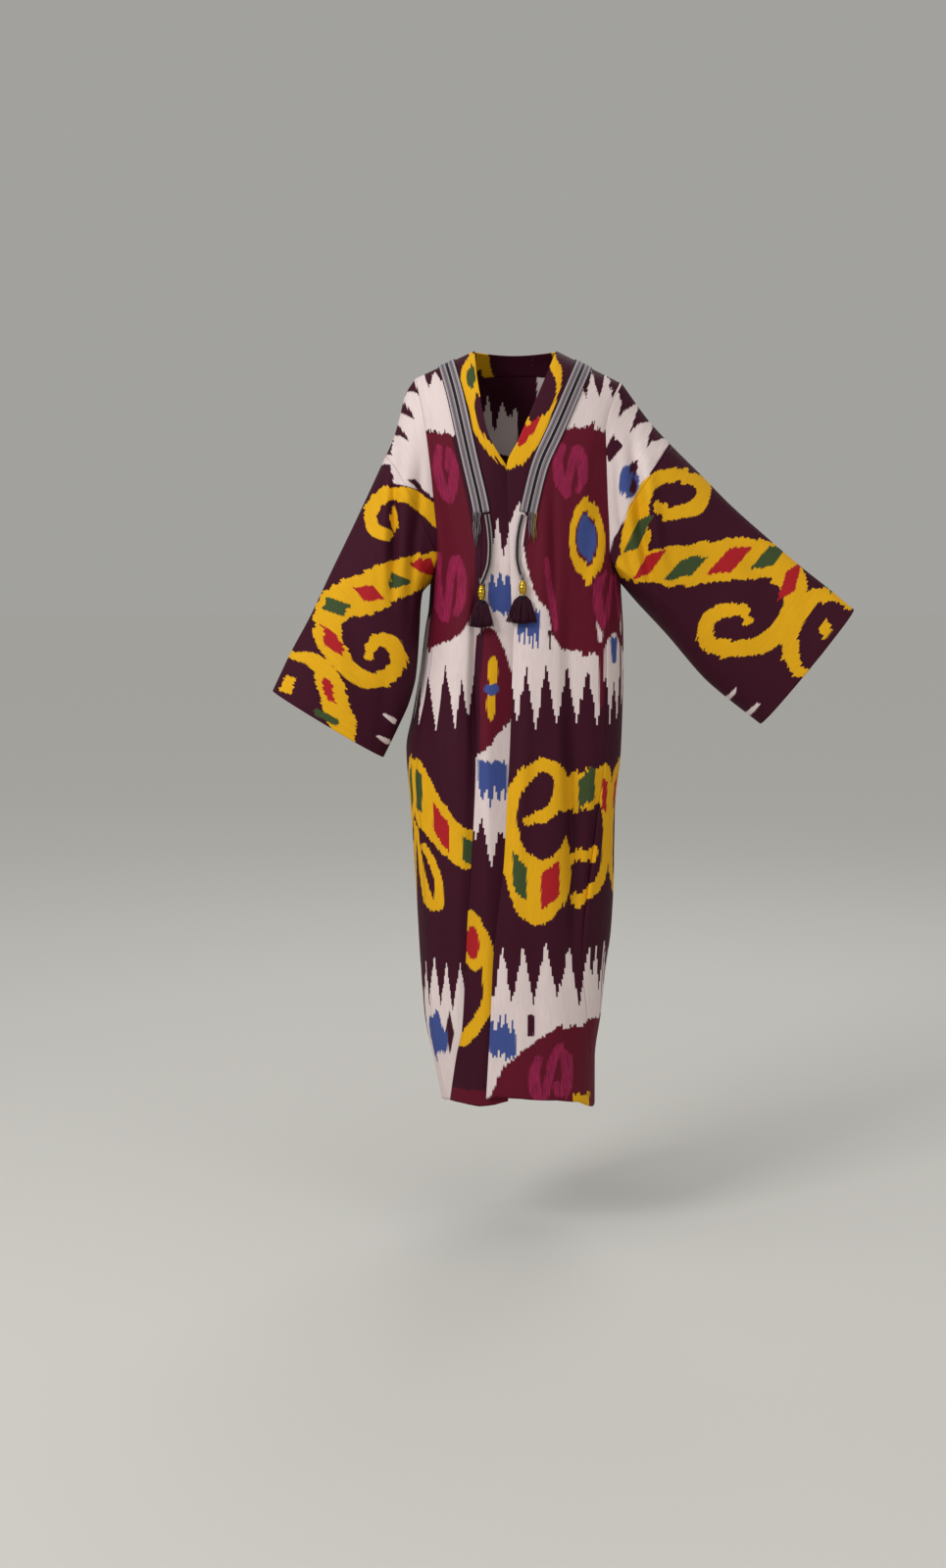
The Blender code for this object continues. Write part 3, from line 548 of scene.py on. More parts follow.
def ripple(grid, seed, size):
    # slow unevenness of hanging cloth, longer up and down than across
    pick = np.random.default_rng(seed)
    x, z = grid[..., 0], grid[..., 2]
    out = np.zeros(x.shape)
    for _ in range(hang["waves"]):
        across, down = pick.uniform(*hang["across"]), pick.uniform(*hang["down"])
        swing = np.sin(across * x + down * z * pick.choice([-1, 1]) + pick.uniform(0, 6.3))
        out += swing / (1 + across / hang["even"])
    return out * size


def settle(grid, lines, sign, seed):
    # sign is -1 on a front, 1 on a back; y grows or shrinks with the crease
    free = np.clip((ridge(grid[..., 0]) - grid[..., 2]) / hang["shoulderReach"], 0, 1)
    extra = creaseHeight(grid, lines) + ripple(grid, seed, hang["ripple"])
    grid = grid.copy()
    grid[..., 1] += sign * extra * free
    return grid


def pin(grid, edges, reach):
    # 0 at the named edges of a grid, 1 away from them
    n, m = grid.shape[:2]
    keep = np.ones((n, m))
    j, i = np.meshgrid(np.arange(n), np.arange(m), indexing="ij")
    for edge in edges:
        away = {"first": i, "last": m - 1 - i, "top": j, "bottom": n - 1 - j}[edge]
        keep *= smooth(away / reach)
    return keep


def settleSleeve(grid, lines, places, seed):
    side = np.where(places > 12, 1.0, -1.0)[None, :]
    edge = np.abs(np.sin(math.pi * places / 12))[None, :] ** 0.7
    extra = creaseHeight(grid, lines) * np.where(side > 0, hang["sleeveBack"], 1.0)
    extra = extra + ripple(grid, seed, hang["ripple"])
    grid = grid.copy()
    grid[..., 1] += side * extra * edge
    return grid


def gatherGore(grid, seed):
    out = ripple(grid[..., [1, 0, 2]], seed, hang["goreRipple"])
    out = out * pin(grid, ("first", "last"), hang["goreReach"])
    away = unit((grid - grid.mean(axis=1, keepdims=True)) * (1, 1, 0), 1e-6)
    return grid + away * out[..., None]


pieces = {
    "frontRight": dict(grid=mainRight), "frontStripRight": dict(grid=stripRight),
    "frontLeft": dict(grid=mainLeft), "neckBandLeft": dict(grid=bandLeft),
    "neckBandBack": dict(grid=bandBack), "backPanel": dict(grid=backPanel),
    "goreLeft": dict(grid=goreLeft), "goreRight": dict(grid=goreRight),
    "sleeveHeadLeft": dict(grid=headLeft), "sleeveLeft": dict(grid=sleeveLeft),
    "sleeveHeadRight": dict(grid=headRight), "sleeveRight": dict(grid=sleeveRight),
}
for name, piece in pieces.items():
    piece["flatGrid"] = piece["grid"]       # before the creases, to lay the dyed design out on
    piece["warp"] = "round" if "sleeve" in name else "down"
    piece["tube"] = name in ("sleeveLeft", "sleeveRight")
    piece["sign"] = -1 if name in ("sleeveHeadLeft", "sleeveLeft") else 1
nodeOf = {name: "".join("_" + c.lower() if c.isupper() else c for c in name) for name in pieces}

for name in ("frontRight", "frontStripRight", "frontLeft", "neckBandLeft"):
    grid = pieces[name]["grid"]
    low = settle(grid, creases["front"], -1, 5 if "Right" in name else 9)
    if name in ("frontRight", "frontLeft"):     # the side edge stays on the gore
        edge = "first" if name == "frontRight" else "last"
        low = grid + (low - grid) * pin(grid, (edge,), hang["seamReach"])[..., None]
    pieces[name]["grid"] = low
low = settle(backPanel, creases["back"], 1, 13)
held = pin(backPanel, ("first", "last", "top"), hang["seamReach"])[..., None]
pieces["backPanel"]["grid"] = backPanel + (low - backPanel) * held
pieces["goreLeft"]["grid"] = gatherGore(goreLeft, 3)
pieces["goreRight"]["grid"] = gatherGore(goreRight, 4)
for side in ("Left", "Right"):
    lines, head, main = creases["sleeve" + side], pieces["sleeveHead" + side], pieces["sleeve" + side]
    runIn, start = (smooth(np.linalg.norm(g - g[0], axis=2) / hang["sleeveReach"])[..., None]
                    for g in (head["grid"], main["grid"]))
    start[:, over] = np.maximum(start[:, over], runIn[-1][None])
    head["grid"] = head["grid"] + (settleSleeve(head["grid"], lines, around[over], 21) - head["grid"]) * runIn
    main["grid"] = main["grid"] + (settleSleeve(main["grid"], lines, around, 21) - main["grid"]) * start
    main["grid"][0, over] = head["grid"][-1]
print("creases laid")

# the dyed design in cm: colour, kind of shape, numbers; "plum" is the ground
spread = 3.0    # distances are kept to this many cm
dyeNames = ("white", "burgundy", "pink", "yellow", "blue", "red", "green")
frontLeftDesign = [
    ("white", "between", ((4, -2), (6.6, -1.5), (8, -1.2), (9.2, -3.6), (10.4, -1.5), (11.6, -7.4),
        (12.7, -2.0), (13.9, -7.8), (15.1, -3.0), (16.2, -5.8), (17.8, -3.2)), ((4, -11.8), (18, -12.2))),
    ("white", "between", ((-6, -36), (1.0, -33.5), (3.4, -44), (6, -46), (18, -44)), ((-2.2, -52.0),
        (-0.8, -53.0), (0.2, -60.5), (1.8, -52.0), (3.3, -61.5), (5.0, -50.9), (6.8, -61.0), (8.5, -51.4),
        (10.2, -62.0), (11.9, -51.0), (13.6, -60.2), (15.0, -52.4), (16.1, -61.8), (17.4, -53),
        (18.6, -60))),
    ("white", "area", ((-1.6, -30), (-0.4, -27.6), (0.6, -28.6), (1.3, -32), (2.4, -37.4), (3.7, -39.8),
        (5.3, -42), (5.8, -44.8), (5.8, -48), (-2, -48))),
    ("blue", "between", ((0.3, -42), (3.9, -41.6)), ((0.3, -45.2), (0.6, -47.6), (0.95, -45.2), (1.35, -48),
        (1.7, -45.2), (2.1, -47.8), (2.45, -45.2), (2.8, -48), (3.2, -45.2), (3.6, -47.9), (3.95, -45))),
    ("burgundy", "area", ((6.5, -12.5), (9, -12), (14.5, -12), (15.5, -14), (15.7, -25), (16.2, -35),
        (18.5, -44), (17.4, -46), (15.6, -47), (14.4, -48.8), (11, -49.4), (7.5, -48.4), (6.0, -45.4),
        (5.4, -42.2), (3.8, -40), (2.6, -37.7), (1.7, -34), (1.9, -29), (2.5, -24), (3.5, -18))),
    ("burgundy", "area", ((13.9, -47), (14.8, -47), (14.7, -58), (14.1, -58))),
    ("plum", "area", ((5.2, -45.2), (5.8, -45.0), (5.9, -48.5), (5.5, -48.4))),
    ("white", "area", ((13.3, -43.2), (14.5, -43.1), (14.6, -46.6), (13.8, -46.9))),
    ("blue", "area", ((16.1, -47.0), (17.2, -47.2), (17.4, -51.2), (16.6, -51.4))),
    ("pink", "stroke", ((7.6, -15.0, 0.55), (6.8, -17.6, 0.75), (7.2, -20.6, 0.9), (8.4, -22.8, 0.7))),
    ("pink", "stroke", ((8.2, -22.0, 0.6), (9.0, -18.8, 0.65), (9.9, -15.6, 0.8), (10.9, -18.0, 0.85),
        (11.0, -20.8, 0.7), (10.2, -22.6, 0.4))),
    ("pink", "stroke", ((14.8, -35.6, 0.4), (13.6, -38.2, 0.8), (13.8, -41.6, 0.8), (14.6, -44.4, 0.5))),
    ("pink", "stroke", ((15.2, -43.6, 0.4), (15.8, -40.2, 0.6), (16.4, -37.0, 0.5))),
    ("pink", "stroke", ((5.0, -33.4, 0.25), (5.3, -37, 0.4), (6.0, -41, 0.55), (6.6, -45, 0.3))),
    ("yellow", "spot", (11.8, -30.4, 3.0, 6.5)), ("yellow", "spot", (11.8, -35.6, 1.0, 2.0)),
    ("burgundy", "spot", (11.7, -30.3, 1.95, 4.3)), ("blue", "spot", (11.7, -30.2, 1.6, 3.5)),
    ("yellow", "stroke", ((1.9, -76.8, 0.7), (4.3, -76.3, 1.0), (6.9, -74, 1.1), (7.6, -71, 1.1),
        (6.5, -68.3, 1.0), (4.6, -67.6, 1.1), (2, -69, 1.1), (-0.4, -72.6, 1.2), (-1.2, -77, 1.3),
        (-1, -81.5, 1.5), (-0.4, -85, 1.8))),
    ("yellow", "crescent", (3.9, -85.5, 5.4, 9.0, 4.6, -77.5, 4.2, 6.0)),
    ("green", "slab", (0.7, -86.4, 1.1, 2.9, 0.0, -0.9)), ("red", "slab", (5.8, -88, 1.5, 3.1, 0.0, 0.6)),
    ("yellow", "stroke", ((9.0, -73.4, 2.6), (11.8, -72, 3.0), (14.3, -70.4, 2.4), (15.7, -74, 1.6),
        (16.3, -80, 1.0), (16.1, -85, 1.0), (14.4, -88.8, 1.1), (10.4, -90.6, 1.1))),
    ("yellow", "stroke", ((9.4, -83.6, 0.8), (11.8, -82.8, 0.9), (13.3, -82.9, 0.8), (13.2, -84.6, 0.4))),
    ("green", "slab", (12.0, -71.6, 1.3, 2.6, 0.0, 0.9)),
    ("red", "slab", (15.3, -73.6, 0.6, 2.6, 0.0, -0.8)),
    ("white", "between", ((-5, -106), (-3.6, -107), (-2.3, -98.6), (-0.6, -107.6), (1.3, -98.4),
        (3.1, -108), (5.1, -97.8), (7.0, -108.4), (9.0, -98.2), (10.9, -107.8), (12.7, -99), (13.5, -106),
        (14.4, -99.6), (15.8, -107.5), (17, -100)), ((-6, -131), (18, -131))),
    ("burgundy", "area", ((-4.6, -125), (-1.5, -118.5), (3.5, -114.5), (7.7, -112.5), (12.5, -112),
        (18, -112.5), (18, -132), (-6, -132))),
    ("plum", "area", ((2.0, -109.8), (3.3, -109.8), (3.2, -113.7), (1.9, -113.6))),
    ("blue", "between", ((-4.3, -113), (-3.9, -110.2), (-3.3, -113), (-2.7, -110.4), (-2.1, -113.2),
        (-1.5, -110.2), (-0.9, -113), (-0.4, -110.6), (0.1, -113)), ((-4.4, -116.4), (-2.2, -117.6),
        (0.2, -116.6))),
    ("pink", "stroke", ((3.9, -117.8, 0.7), (3.2, -120.2, 0.9), (3.4, -122.8, 1.0), (4.8, -124.4, 0.8),
        (5.6, -121.6, 0.7), (6.4, -118.6, 0.8), (7.6, -116.6, 0.9), (8.8, -118.4, 1.0), (8.9, -121.6, 0.9),
        (7.8, -124.2, 0.9), (6.8, -122.6, 0.5))),
    ("yellow", "area", ((10, -124.4), (12.8, -124.4), (12.8, -127), (10, -127))),
]
frontRightDesign = [
    ("white", "between", ((-17.5, -4.5), (-16.6, -2.8), (-15.5, -2.4), (-14.5, -5.4), (-13.4, -2.0),
        (-12.3, -3.8), (-11.2, -1.6), (-9.6, -3)), ((-18, -13.0), (-9, -12.8))),
    ("white", "between", ((-18, -43.5), (-15, -44.5), (-8, -42), (-6, -43)), ((-18.4, -52), (-17.4, -55),
        (-16.2, -61.6), (-14.8, -52.5), (-13.3, -62.4), (-11.7, -51.2), (-10.1, -61.2), (-9.0, -53),
        (-8.0, -59.6), (-6.8, -52), (-5.8, -58))),
    ("burgundy", "area", ((-14.8, -13.2), (-10.8, -12.8), (-9.3, -18.5), (-8, -24.5), (-6.7, -31.5),
        (-6.9, -38.5), (-7.7, -43.5), (-9.7, -46.3), (-13.5, -48.5), (-15.9, -49.3), (-15.2, -43.5),
        (-14.4, -35), (-13.7, -26), (-14.6, -20))),
    ("pink", "stroke", ((-12.7, -15.4, 0.5), (-13.0, -18.4, 0.7), (-12.3, -21.4, 0.8), (-11.2, -23.6, 0.8),
        (-10.4, -21.4, 0.8), (-10.2, -18.4, 0.7), (-10.9, -15.8, 0.5))),
    ("pink", "stroke", ((-11.3, -15.6, 0.3), (-11.4, -18.6, 0.35))),
    ("pink", "stroke", ((-12.8, -33.4, 0.5), (-13.2, -37.2, 0.8), (-12.8, -41.0, 0.9), (-11.8, -43.6, 0.7),
        (-11.2, -40.6, 0.6), (-10.8, -36.8, 0.6), (-9.9, -33.6, 0.7), (-8.9, -36.6, 0.7),
        (-9.1, -40.2, 0.7), (-9.9, -42.6, 0.5))),
    ("yellow", "stroke", ((-18.0, -69.5, 2.6), (-17.0, -72.0, 3.0), (-14.2, -76.5, 3.0),
        (-10.8, -80.2, 3.0), (-7.4, -82.3, 3.0))),
    ("green", "slab", (-16.3, -72.8, 0.6, 3.2, 0.0, -1.2)),
    ("red", "slab", (-12.4, -78.6, 1.3, 2.4, 0.0, -1.3)),
    ("green", "slab", (-8.0, -82.2, 0.8, 2.0, 0.0, -0.9)),
    ("yellow", "stroke", ((-17.2, -79, 0.5), (-16.5, -84, 0.7), (-15.6, -88.6, 0.75), (-14.0, -92.4, 0.85),
        (-12.8, -91.4, 0.8), (-12.8, -88.4, 0.7), (-14.0, -84.8, 0.65), (-15.4, -82.4, 0.5))),
    ("white", "between", ((-17, -108), (-16.4, -108), (-15.6, -101.4), (-14.6, -109.4), (-13.6, -101.2),
        (-12.6, -109.6), (-11.6, -101.6), (-10.5, -109.4), (-9.3, -101.0), (-8.3, -108), (-7.2, -102)),
        ((-18, -131), (-6, -131))),
    ("plum", "lozenge", (-11, -113.5, 0.5, 2.6)),
    ("blue", "between", ((-15.4, -112.4), (-14.7, -110.4), (-14.0, -112.6), (-13.2, -110.4), (-12.4, -113),
        (-11.4, -114)), ((-15.6, -117.0), (-13.6, -119), (-11.4, -117))),
]
stripDesign = [
    ("white", "between", ((-8, -46), (-6.0, -44), (-4.6, -36), (-3.1, -26.6), (-2.1, -33.4), (-1.2, -29),
        (0.6, -26.6), (1.8, -36), (3.5, -40)), ((-8, -46.5), (4, -47.5))),
    ("blue", "between", ((-4.5, -38), (-3.9, -35.8), (-3.3, -38), (-2.6, -35.6), (-2.0, -38), (-1.3, -35.6),
        (-0.7, -38), (0.0, -36), (0.4, -38)), ((-4.5, -41.5), (-2, -42.8), (0.4, -41.6))),
    ("plum", "area", ((-7.3, -44.6), (-6.6, -44.4), (-6.4, -47.5), (-7.1, -47.4))),
    ("plum", "area", ((-5.9, -44.6), (-5.3, -44.4), (-5.2, -47.5), (-5.8, -47.4))),
    ("burgundy", "area", ((-5.2, -45.0), (-3.0, -45.0), (-1.0, -51.3), (2, -52), (2, -60), (-1, -60.2),
        (-3.3, -63.2), (-5.9, -66.6), (-5.9, -55.5), (-5.4, -50.0))),
    ("white", "area", ((-4.2, -44.2), (-3.4, -45.6), (-2.5, -47.4), (-1.6, -49.4), (-1.0, -51.6),
        (-0.4, -53.4), (2, -53.4), (2, -44.2))),
    ("yellow", "spot", (-3.8, -52.2, 0.8, 2.5)), ("yellow", "spot", (-4.1, -57.9, 0.7, 2.2)),
    ("blue", "spot", (-4.0, -55.2, 1.2, 0.9)),
    ("white", "between", ((-7, -67.5), (-5.9, -66.6), (-3.3, -63.2), (-1, -60.6), (1, -60.2)), ((-8, -74),
        (-7.3, -77), (-6.7, -81.3), (-5.6, -77), (-4.0, -85.2), (-2.8, -79), (-1.5, -80.2), (-0.4, -74),
        (1, -78))),
    ("blue", "between", ((-6.2, -67.8), (-3.8, -67.2), (-1.4, -67.6)), ((-6.2, -71.5), (-5.6, -74.6),
        (-4.9, -71.6), (-4.2, -74.8), (-3.5, -71.4), (-2.8, -74.6), (-2.2, -71.4), (-1.6, -74),
        (-1.2, -71))),
    ("yellow", "stroke", ((-7.6, -93.5, 0.8), (-5.9, -96, 1), (-4.4, -101.3, 1.1), (-4.3, -106.6, 1.1),
        (-5.9, -111, 1), (-8.9, -115.4, 0.9))),
    ("yellow", "spot", (-6.9, -98, 1.9, 4.8)), ("red", "spot", (-7.2, -98.2, 1.1, 2.7)),
    ("burgundy", "area", ((-13, -124.5), (-8, -123.6), (0, -123.4), (0, -132), (-13, -132))),
]
bandDesign = [
    ("yellow", "area", ((-7.2, 1.0), (-5.5, -1), (-4, -8), (0, -15), (-1.4, -19), (-3.2, -17.4),
        (-5.2, -15.4), (-7.0, -12.6), (-7.7, -9.0), (-9.2, -4.4), (-8.9, -2.0), (-7.6, 0.6))),
    ("green", "spot", (-7.4, -3.6, 0.75, 1.7)),
    ("plum", "stroke", ((-6.3, -7.0, 0.5), (-5.7, -9.0, 1.15), (-5.0, -11.6, 1.15), (-4.2, -13.8, 0.7))),
    ("yellow", "area", ((5.6, 0.4), (6.6, 0.2), (7.6, -2.0), (7.4, -4.6), (6.2, -8.6), (4.0, -14.2),
        (1.0, -17.8), (-1.6, -18.6), (0, -14), (4.4, -4))),
    ("plum", "stroke", ((5.6, -2.6, 0.5), (5.4, -4.8, 1.3), (4.6, -7.2, 1.6), (3.4, -9.0, 1.3),
        (2.4, -10.2, 0.5))),
    ("red", "stroke", ((0.6, -14.2, 0.55), (2.0, -12.4, 0.8), (3.5, -10.6, 0.4))),
    ("white", "area", ((-3, -33), (-1.2, -28), (-0.4, -26), (0.5, -23.8), (1.5, -26), (3, -32), (3, -47),
        (-3, -47))),
]
sleeveLeftDesign = [
    ("white", "area", ((14.0, -7.0), (17.2, -4.2), (20.4, -7.0), (26.3, -13.6), (24.2, -16.4),
        (22.2, -19.4), (21.2, -23.0), (18.8, -25.6), (16.2, -30.4), (15.2, -34), (14.0, -34))),
    ("plum", "area", ((15.2, -2.6), (18.4, -3.2), (19.4, -5.4), (17.6, -7.6), (16.8, -5.6), (15.6, -6.4))),
    ("plum", "area", ((18.8, -4.6), (20.9, -7.4), (18.6, -8.6), (16.8, -10.6), (17.6, -8.0))),
    ("plum", "area", ((21.0, -7.2), (23.4, -10.2), (20.8, -11.0), (18.9, -12.8), (19.8, -10.2))),
    ("plum", "area", ((23.6, -10.6), (25.7, -13.2), (23.0, -14.0), (21.2, -15.8), (22.2, -13.2))),
    ("plum", "area", ((16.2, -12.8), (17.8, -15.0), (15.4, -17.8), (14.4, -16.0))),
    ("blue", "spot", (18.9, -20.6, 1.7, 2.7)), ("plum", "spot", (19.6, -18.6, 0.6, 1.6)),
    ("plum", "spot", (19.6, -21.4, 0.7, 1.5)),
    ("yellow", "stroke", ((23.6, -24.9, 0.9), (25.6, -26.0, 1.1), (28.6, -25.7, 1.2), (31.0, -24.1, 1.3),
        (31.5, -22.0, 1.3), (29.7, -20.2, 1.1), (27.2, -19.6, 1.1), (24.5, -20.0, 1.1), (22.2, -21.3, 1.1),
        (20.8, -24.2, 1.3))),
    ("yellow", "stroke", ((20.4, -25.6, 1.8), (19.9, -30.0, 2.4), (20.2, -34.4, 2.6))),
    ("yellow", "stroke", ((19.2, -34.6, 2.4), (25.4, -34.9, 3.1), (31.6, -34.2, 3.4), (37.8, -33.5, 3.4),
        (43, -33.7, 3.0), (46.2, -36.3, 2.6), (47.2, -40.2, 2.0), (45.8, -43.8, 1.7), (43.0, -46.9, 1.5),
        (39.2, -48.5, 1.4), (34.9, -48.5, 1.4), (32.1, -46.7, 1.3), (32.4, -43.8, 1.2), (35.8, -42.0, 1.1),
        (38.0, -42.1, 1.0), (39.3, -43.6, 0.8))),
    ("plum", "stroke", ((24.2, -31.6, 0.5), (23.0, -28.4, 0.9), (22.6, -25.8, 0.6))),
    ("green", "slab", (20.5, -29.4, 1.0, 2.2, 0.45, 0.4)),
    ("red", "slab", (22.4, -34.4, 1.1, 1.7, 0.6, 0.2)),
    ("green", "slab", (28.6, -35.0, 2.0, 1.5, 0.9, 0.15)),
    ("red", "slab", (36.0, -33.8, 1.9, 1.9, 0.9, 0.12)),
    ("green", "slab", (43.0, -33.2, 1.7, 1.6, 0.9, 0.1)),
    ("red", "slab", (46.3, -37.4, 1.15, 2.0, 0.35, 0.5)),
    ("yellow", "stroke", ((57.0, -41.2, 0.8), (54.0, -40.0, 1.0), (51.0, -39.6, 1.3), (48.4, -42.3, 1.2),
        (46.7, -45.4, 1.2), (46.2, -48.8, 1.3), (47.0, -51.4, 1.2), (48.8, -52.6, 0.8))),
    ("yellow", "slab", (52.3, -45.4, 1.3, 1.4, 0.8, -0.8)),
    ("green", "slab", (53.6, -38.6, 1.4, 0.5, 0.6, -0.5)),
    ("white", "stroke", ((37.6, -55.6, 0.30), (36.2, -57.6, 0.45))),
    ("white", "stroke", ((41.0, -58.4, 0.30), (39.4, -60.4, 0.45))),
]
sleeveRightDesign = [
    ("white", "area", ((-18.0, -3.6), (-14.4, -3.4), (-13.6, -10), (-13.0, -19), (-12.8, -24.2),
        (-16.2, -22.0), (-20.5, -20.9), (-20.7, -12), (-20.0, -8.4))),
    ("plum", "area", ((-19.4, -3.4), (-17.2, -3.2), (-15.6, -6.8), (-17.4, -5.6), (-18.8, -6.2))),
    ("plum", "area", ((-20.6, -7.4), (-19.0, -6.8), (-16.4, -10.8), (-18.8, -9.4), (-20.4, -9.8))),
    ("plum", "area", ((-21.4, -11.0), (-20.0, -10.6), (-16.9, -14.8), (-19.2, -13.2), (-21.2, -12.8))),
    ("white", "area", ((-23.4, -16.2), (-20.6, -16.4), (-20.4, -18.0), (-23.6, -17.6))),
    ("plum", "area", ((-18.2, -20.4), (-16.8, -20.2), (-12.8, -24.6), (-13.8, -24.8), (-16.0, -22.4))),
    ("plum", "area", ((-14.8, -12.0), (-13.9, -11.6), (-13.2, -18.0), (-13.9, -18.2))),
    ("yellow", "stroke", ((-12.4, -27.6, 1.2), (-13.7, -26.2, 1.3), (-15.7, -24.4, 1.3), (-18, -23.0, 1.2),
        (-20.7, -22.8, 1.1), (-23.2, -24.2, 1.2), (-24.2, -26.5, 1.2), (-23.2, -28.8, 1.1),
        (-21.3, -29.6, 0.9))),
    ("yellow", "spot", (-20.1, -27.0, 0.7, 2.0)),
    ("yellow", "stroke", ((-13.4, -34.8, 2.4), (-16.4, -35.8, 2.8), (-20.8, -37.2, 3.2),
        (-24.5, -39.2, 3.4), (-28.1, -40.2, 3.1), (-30.9, -42.2, 2.7), (-31.6, -45.0, 2.4),
        (-30.6, -48.2, 1.9), (-28.6, -51.2, 1.5), (-24.4, -53.8, 1.4), (-21.2, -52.8, 1.3),
        (-19.5, -50.3, 1.3), (-20.3, -47.7, 1.2), (-22.4, -46.9, 1.1), (-24.1, -47.9, 0.9),
        (-24.6, -49.6, 0.7))),
    ("red", "area", ((-17.7, -34.4), (-14.2, -33.2), (-13.0, -36.6), (-15.7, -35.8))),
    ("green", "area", ((-20.9, -35.7), (-17.2, -37.3), (-20.9, -38.6))),
    ("red", "slab", (-24.4, -39.2, 1.7, 1.3, -0.9, 0.2)),
    ("green", "slab", (-30.0, -41.5, 2.2, 1.1, 0.5, -0.3)),
    ("red", "slab", (-30.8, -47.0, 1.2, 1.5, -0.3, -0.6)),
    ("yellow", "stroke", ((-38.6, -49.6, 0.5), (-35.0, -50.0, 1.0), (-32.5, -51.6, 1.5),
        (-31.2, -54.2, 2.0), (-30.4, -57, 2.3), (-29.2, -60.4, 2.2), (-28.6, -63, 1.8))),
    ("red", "slab", (-31.2, -55.4, 0.7, 1.7, -0.2, -0.4)),
    ("green", "slab", (-31.6, -60.0, 1.9, 0.6, 0.0, -0.5)),
    ("yellow", "slab", (-38.2, -54.6, 1.0, 1.5, 0.3, -0.3)), ("plum", "spot", (-36.9, -54.4, 0.5, 0.9)),
    ("white", "stroke", ((-22.4, -59.4, 0.2), (-20.8, -60.6, 0.45))),
    ("white", "stroke", ((-23.4, -63.2, 0.2), (-21.8, -64.2, 0.45))),
]


def areaField(x, z, points):
    p = np.asarray(points, float)
    d = np.full(x.shape, 1e9)
    inside = np.zeros(x.shape, bool)
    for a, b in zip(p, np.roll(p, -1, axis=0)):
        d = np.minimum(d, toLine(x, z, a, b)[1])
        at = a[0] + (z - a[1]) / np.where(b[1] == a[1], 1e-9, b[1] - a[1]) * (b[0] - a[0])
        inside ^= ((a[1] > z) != (b[1] > z)) & (x < at)
    return np.where(inside, d, -d)


def spotField(x, z, cx, cz, rx, rz):
    return (1 - np.hypot((x - cx) / rx, (z - cz) / rz)) * min(rx, rz)


def slabField(x, z, cx, cz, rx, rz, lean, slope):
    # middle, half width, half height, lean of its sides, slope of its ends
    return np.minimum(rx - np.abs(x - cx - lean * (z - cz)), rz - np.abs(z - cz - slope * (x - cx)))


def lozengeField(x, z, cx, cz, rx, rz):
    return (1 - np.abs(x - cx) / rx - np.abs(z - cz) / rz) * rx * 0.8 + 0.25


def crescentField(x, z, *sizes):
    # a spot without the part that a second spot covers
    return np.minimum(spotField(x, z, *sizes[:4]), -spotField(x, z, *sizes[4:]))


def strokeField(x, z, points):
    # points with a half width each, rounded through them where there are more than three
    p = np.asarray(points, float)
    if len(p) > 3:
        k = np.arange(len(p))
        at = np.linspace(0, k[-1], 4 * len(p))
        p = np.stack([along(np.stack([k, p[:, c]], 1), at) for c in range(3)], 1)
    best = np.full(x.shape, -1e9)
    for a, b in zip(p, p[1:]):
        t, d = toLine(x, z, a, b)
        best = np.maximum(best, mix(a[2], b[2], t) - d)
    return best


def betweenField(x, z, top, low, more):
    # between an upper and a lower line, whose points move with the threads
    top, low = np.asarray(top, float), np.asarray(low, float)
    high, deep = (np.interp(x, line[:, 0], line[:, 1]) for line in (top, low))
    side = np.minimum(x - max(top[0, 0], low[0, 0]), min(top[-1, 0], low[-1, 0]) - x)
    return np.minimum(np.minimum(high - z - more, z + more - deep), side)


def shapeField(kind, data, x, z, more):
    # distance inside a shape's edge, in cm, negative outside it
    if kind == "between":
        return betweenField(x, z, *data, more)
    if kind in ("area", "stroke"):
        return {"area": areaField, "stroke": strokeField}[kind](x, z, data[0])
    return {"spot": spotField, "slab": slabField, "lozenge": lozengeField,
            "crescent": crescentField}[kind](x, z, *data[0])


def dye(design, x, z, shift):
    # later shapes lie over earlier ones; each colour keeps its own distance to its edge
    fields = {name: np.full(x.shape, -spread) for name in dyeNames}
    for colour, kind, *data in design:
        d = np.clip(shapeField(kind, data, x, z + shift, shift), -spread, spread)
        for name in dyeNames:
            fields[name] = np.maximum(fields[name], d) if name == colour else np.minimum(fields[name], -d)
    return np.stack([fields[name] for name in dyeNames] + [np.zeros(x.shape)] * 2, -1)


bundle = {"group": 4, "groupShift": 0.26, "ownShift": 0.14, "most": 0.75}


def bundleShift(count, seed):
    pick = np.random.default_rng(seed)
    slow = np.repeat(pick.normal(0, bundle["groupShift"], count // bundle["group"] + 2), bundle["group"])
    slow = slow[pick.integers(0, bundle["group"]):][:count]
    return np.clip(slow + pick.normal(0, bundle["ownShift"], count), -bundle["most"], bundle["most"])


# in cm: the side where each front's design turns over, the seam and the repeat of the back's two loom
# widths, the warp's run on the back of the neck band, and the line where the strip's own design starts
layout = {"turnLeft": 17.2, "turnRight": -17.6, "backSeam": 0.8, "repeatX": 17.2, "repeatZ": 3.5,
          "napeScale": 0.9, "napeStart": 1.0, "stripX": -6, "stripZ": -20, "stripSlope": -0.6}
# across the warp of each sleeve, x and z
acrossWarp = {"Left": (-0.673, -0.74), "Right": (0.909, -0.417)}


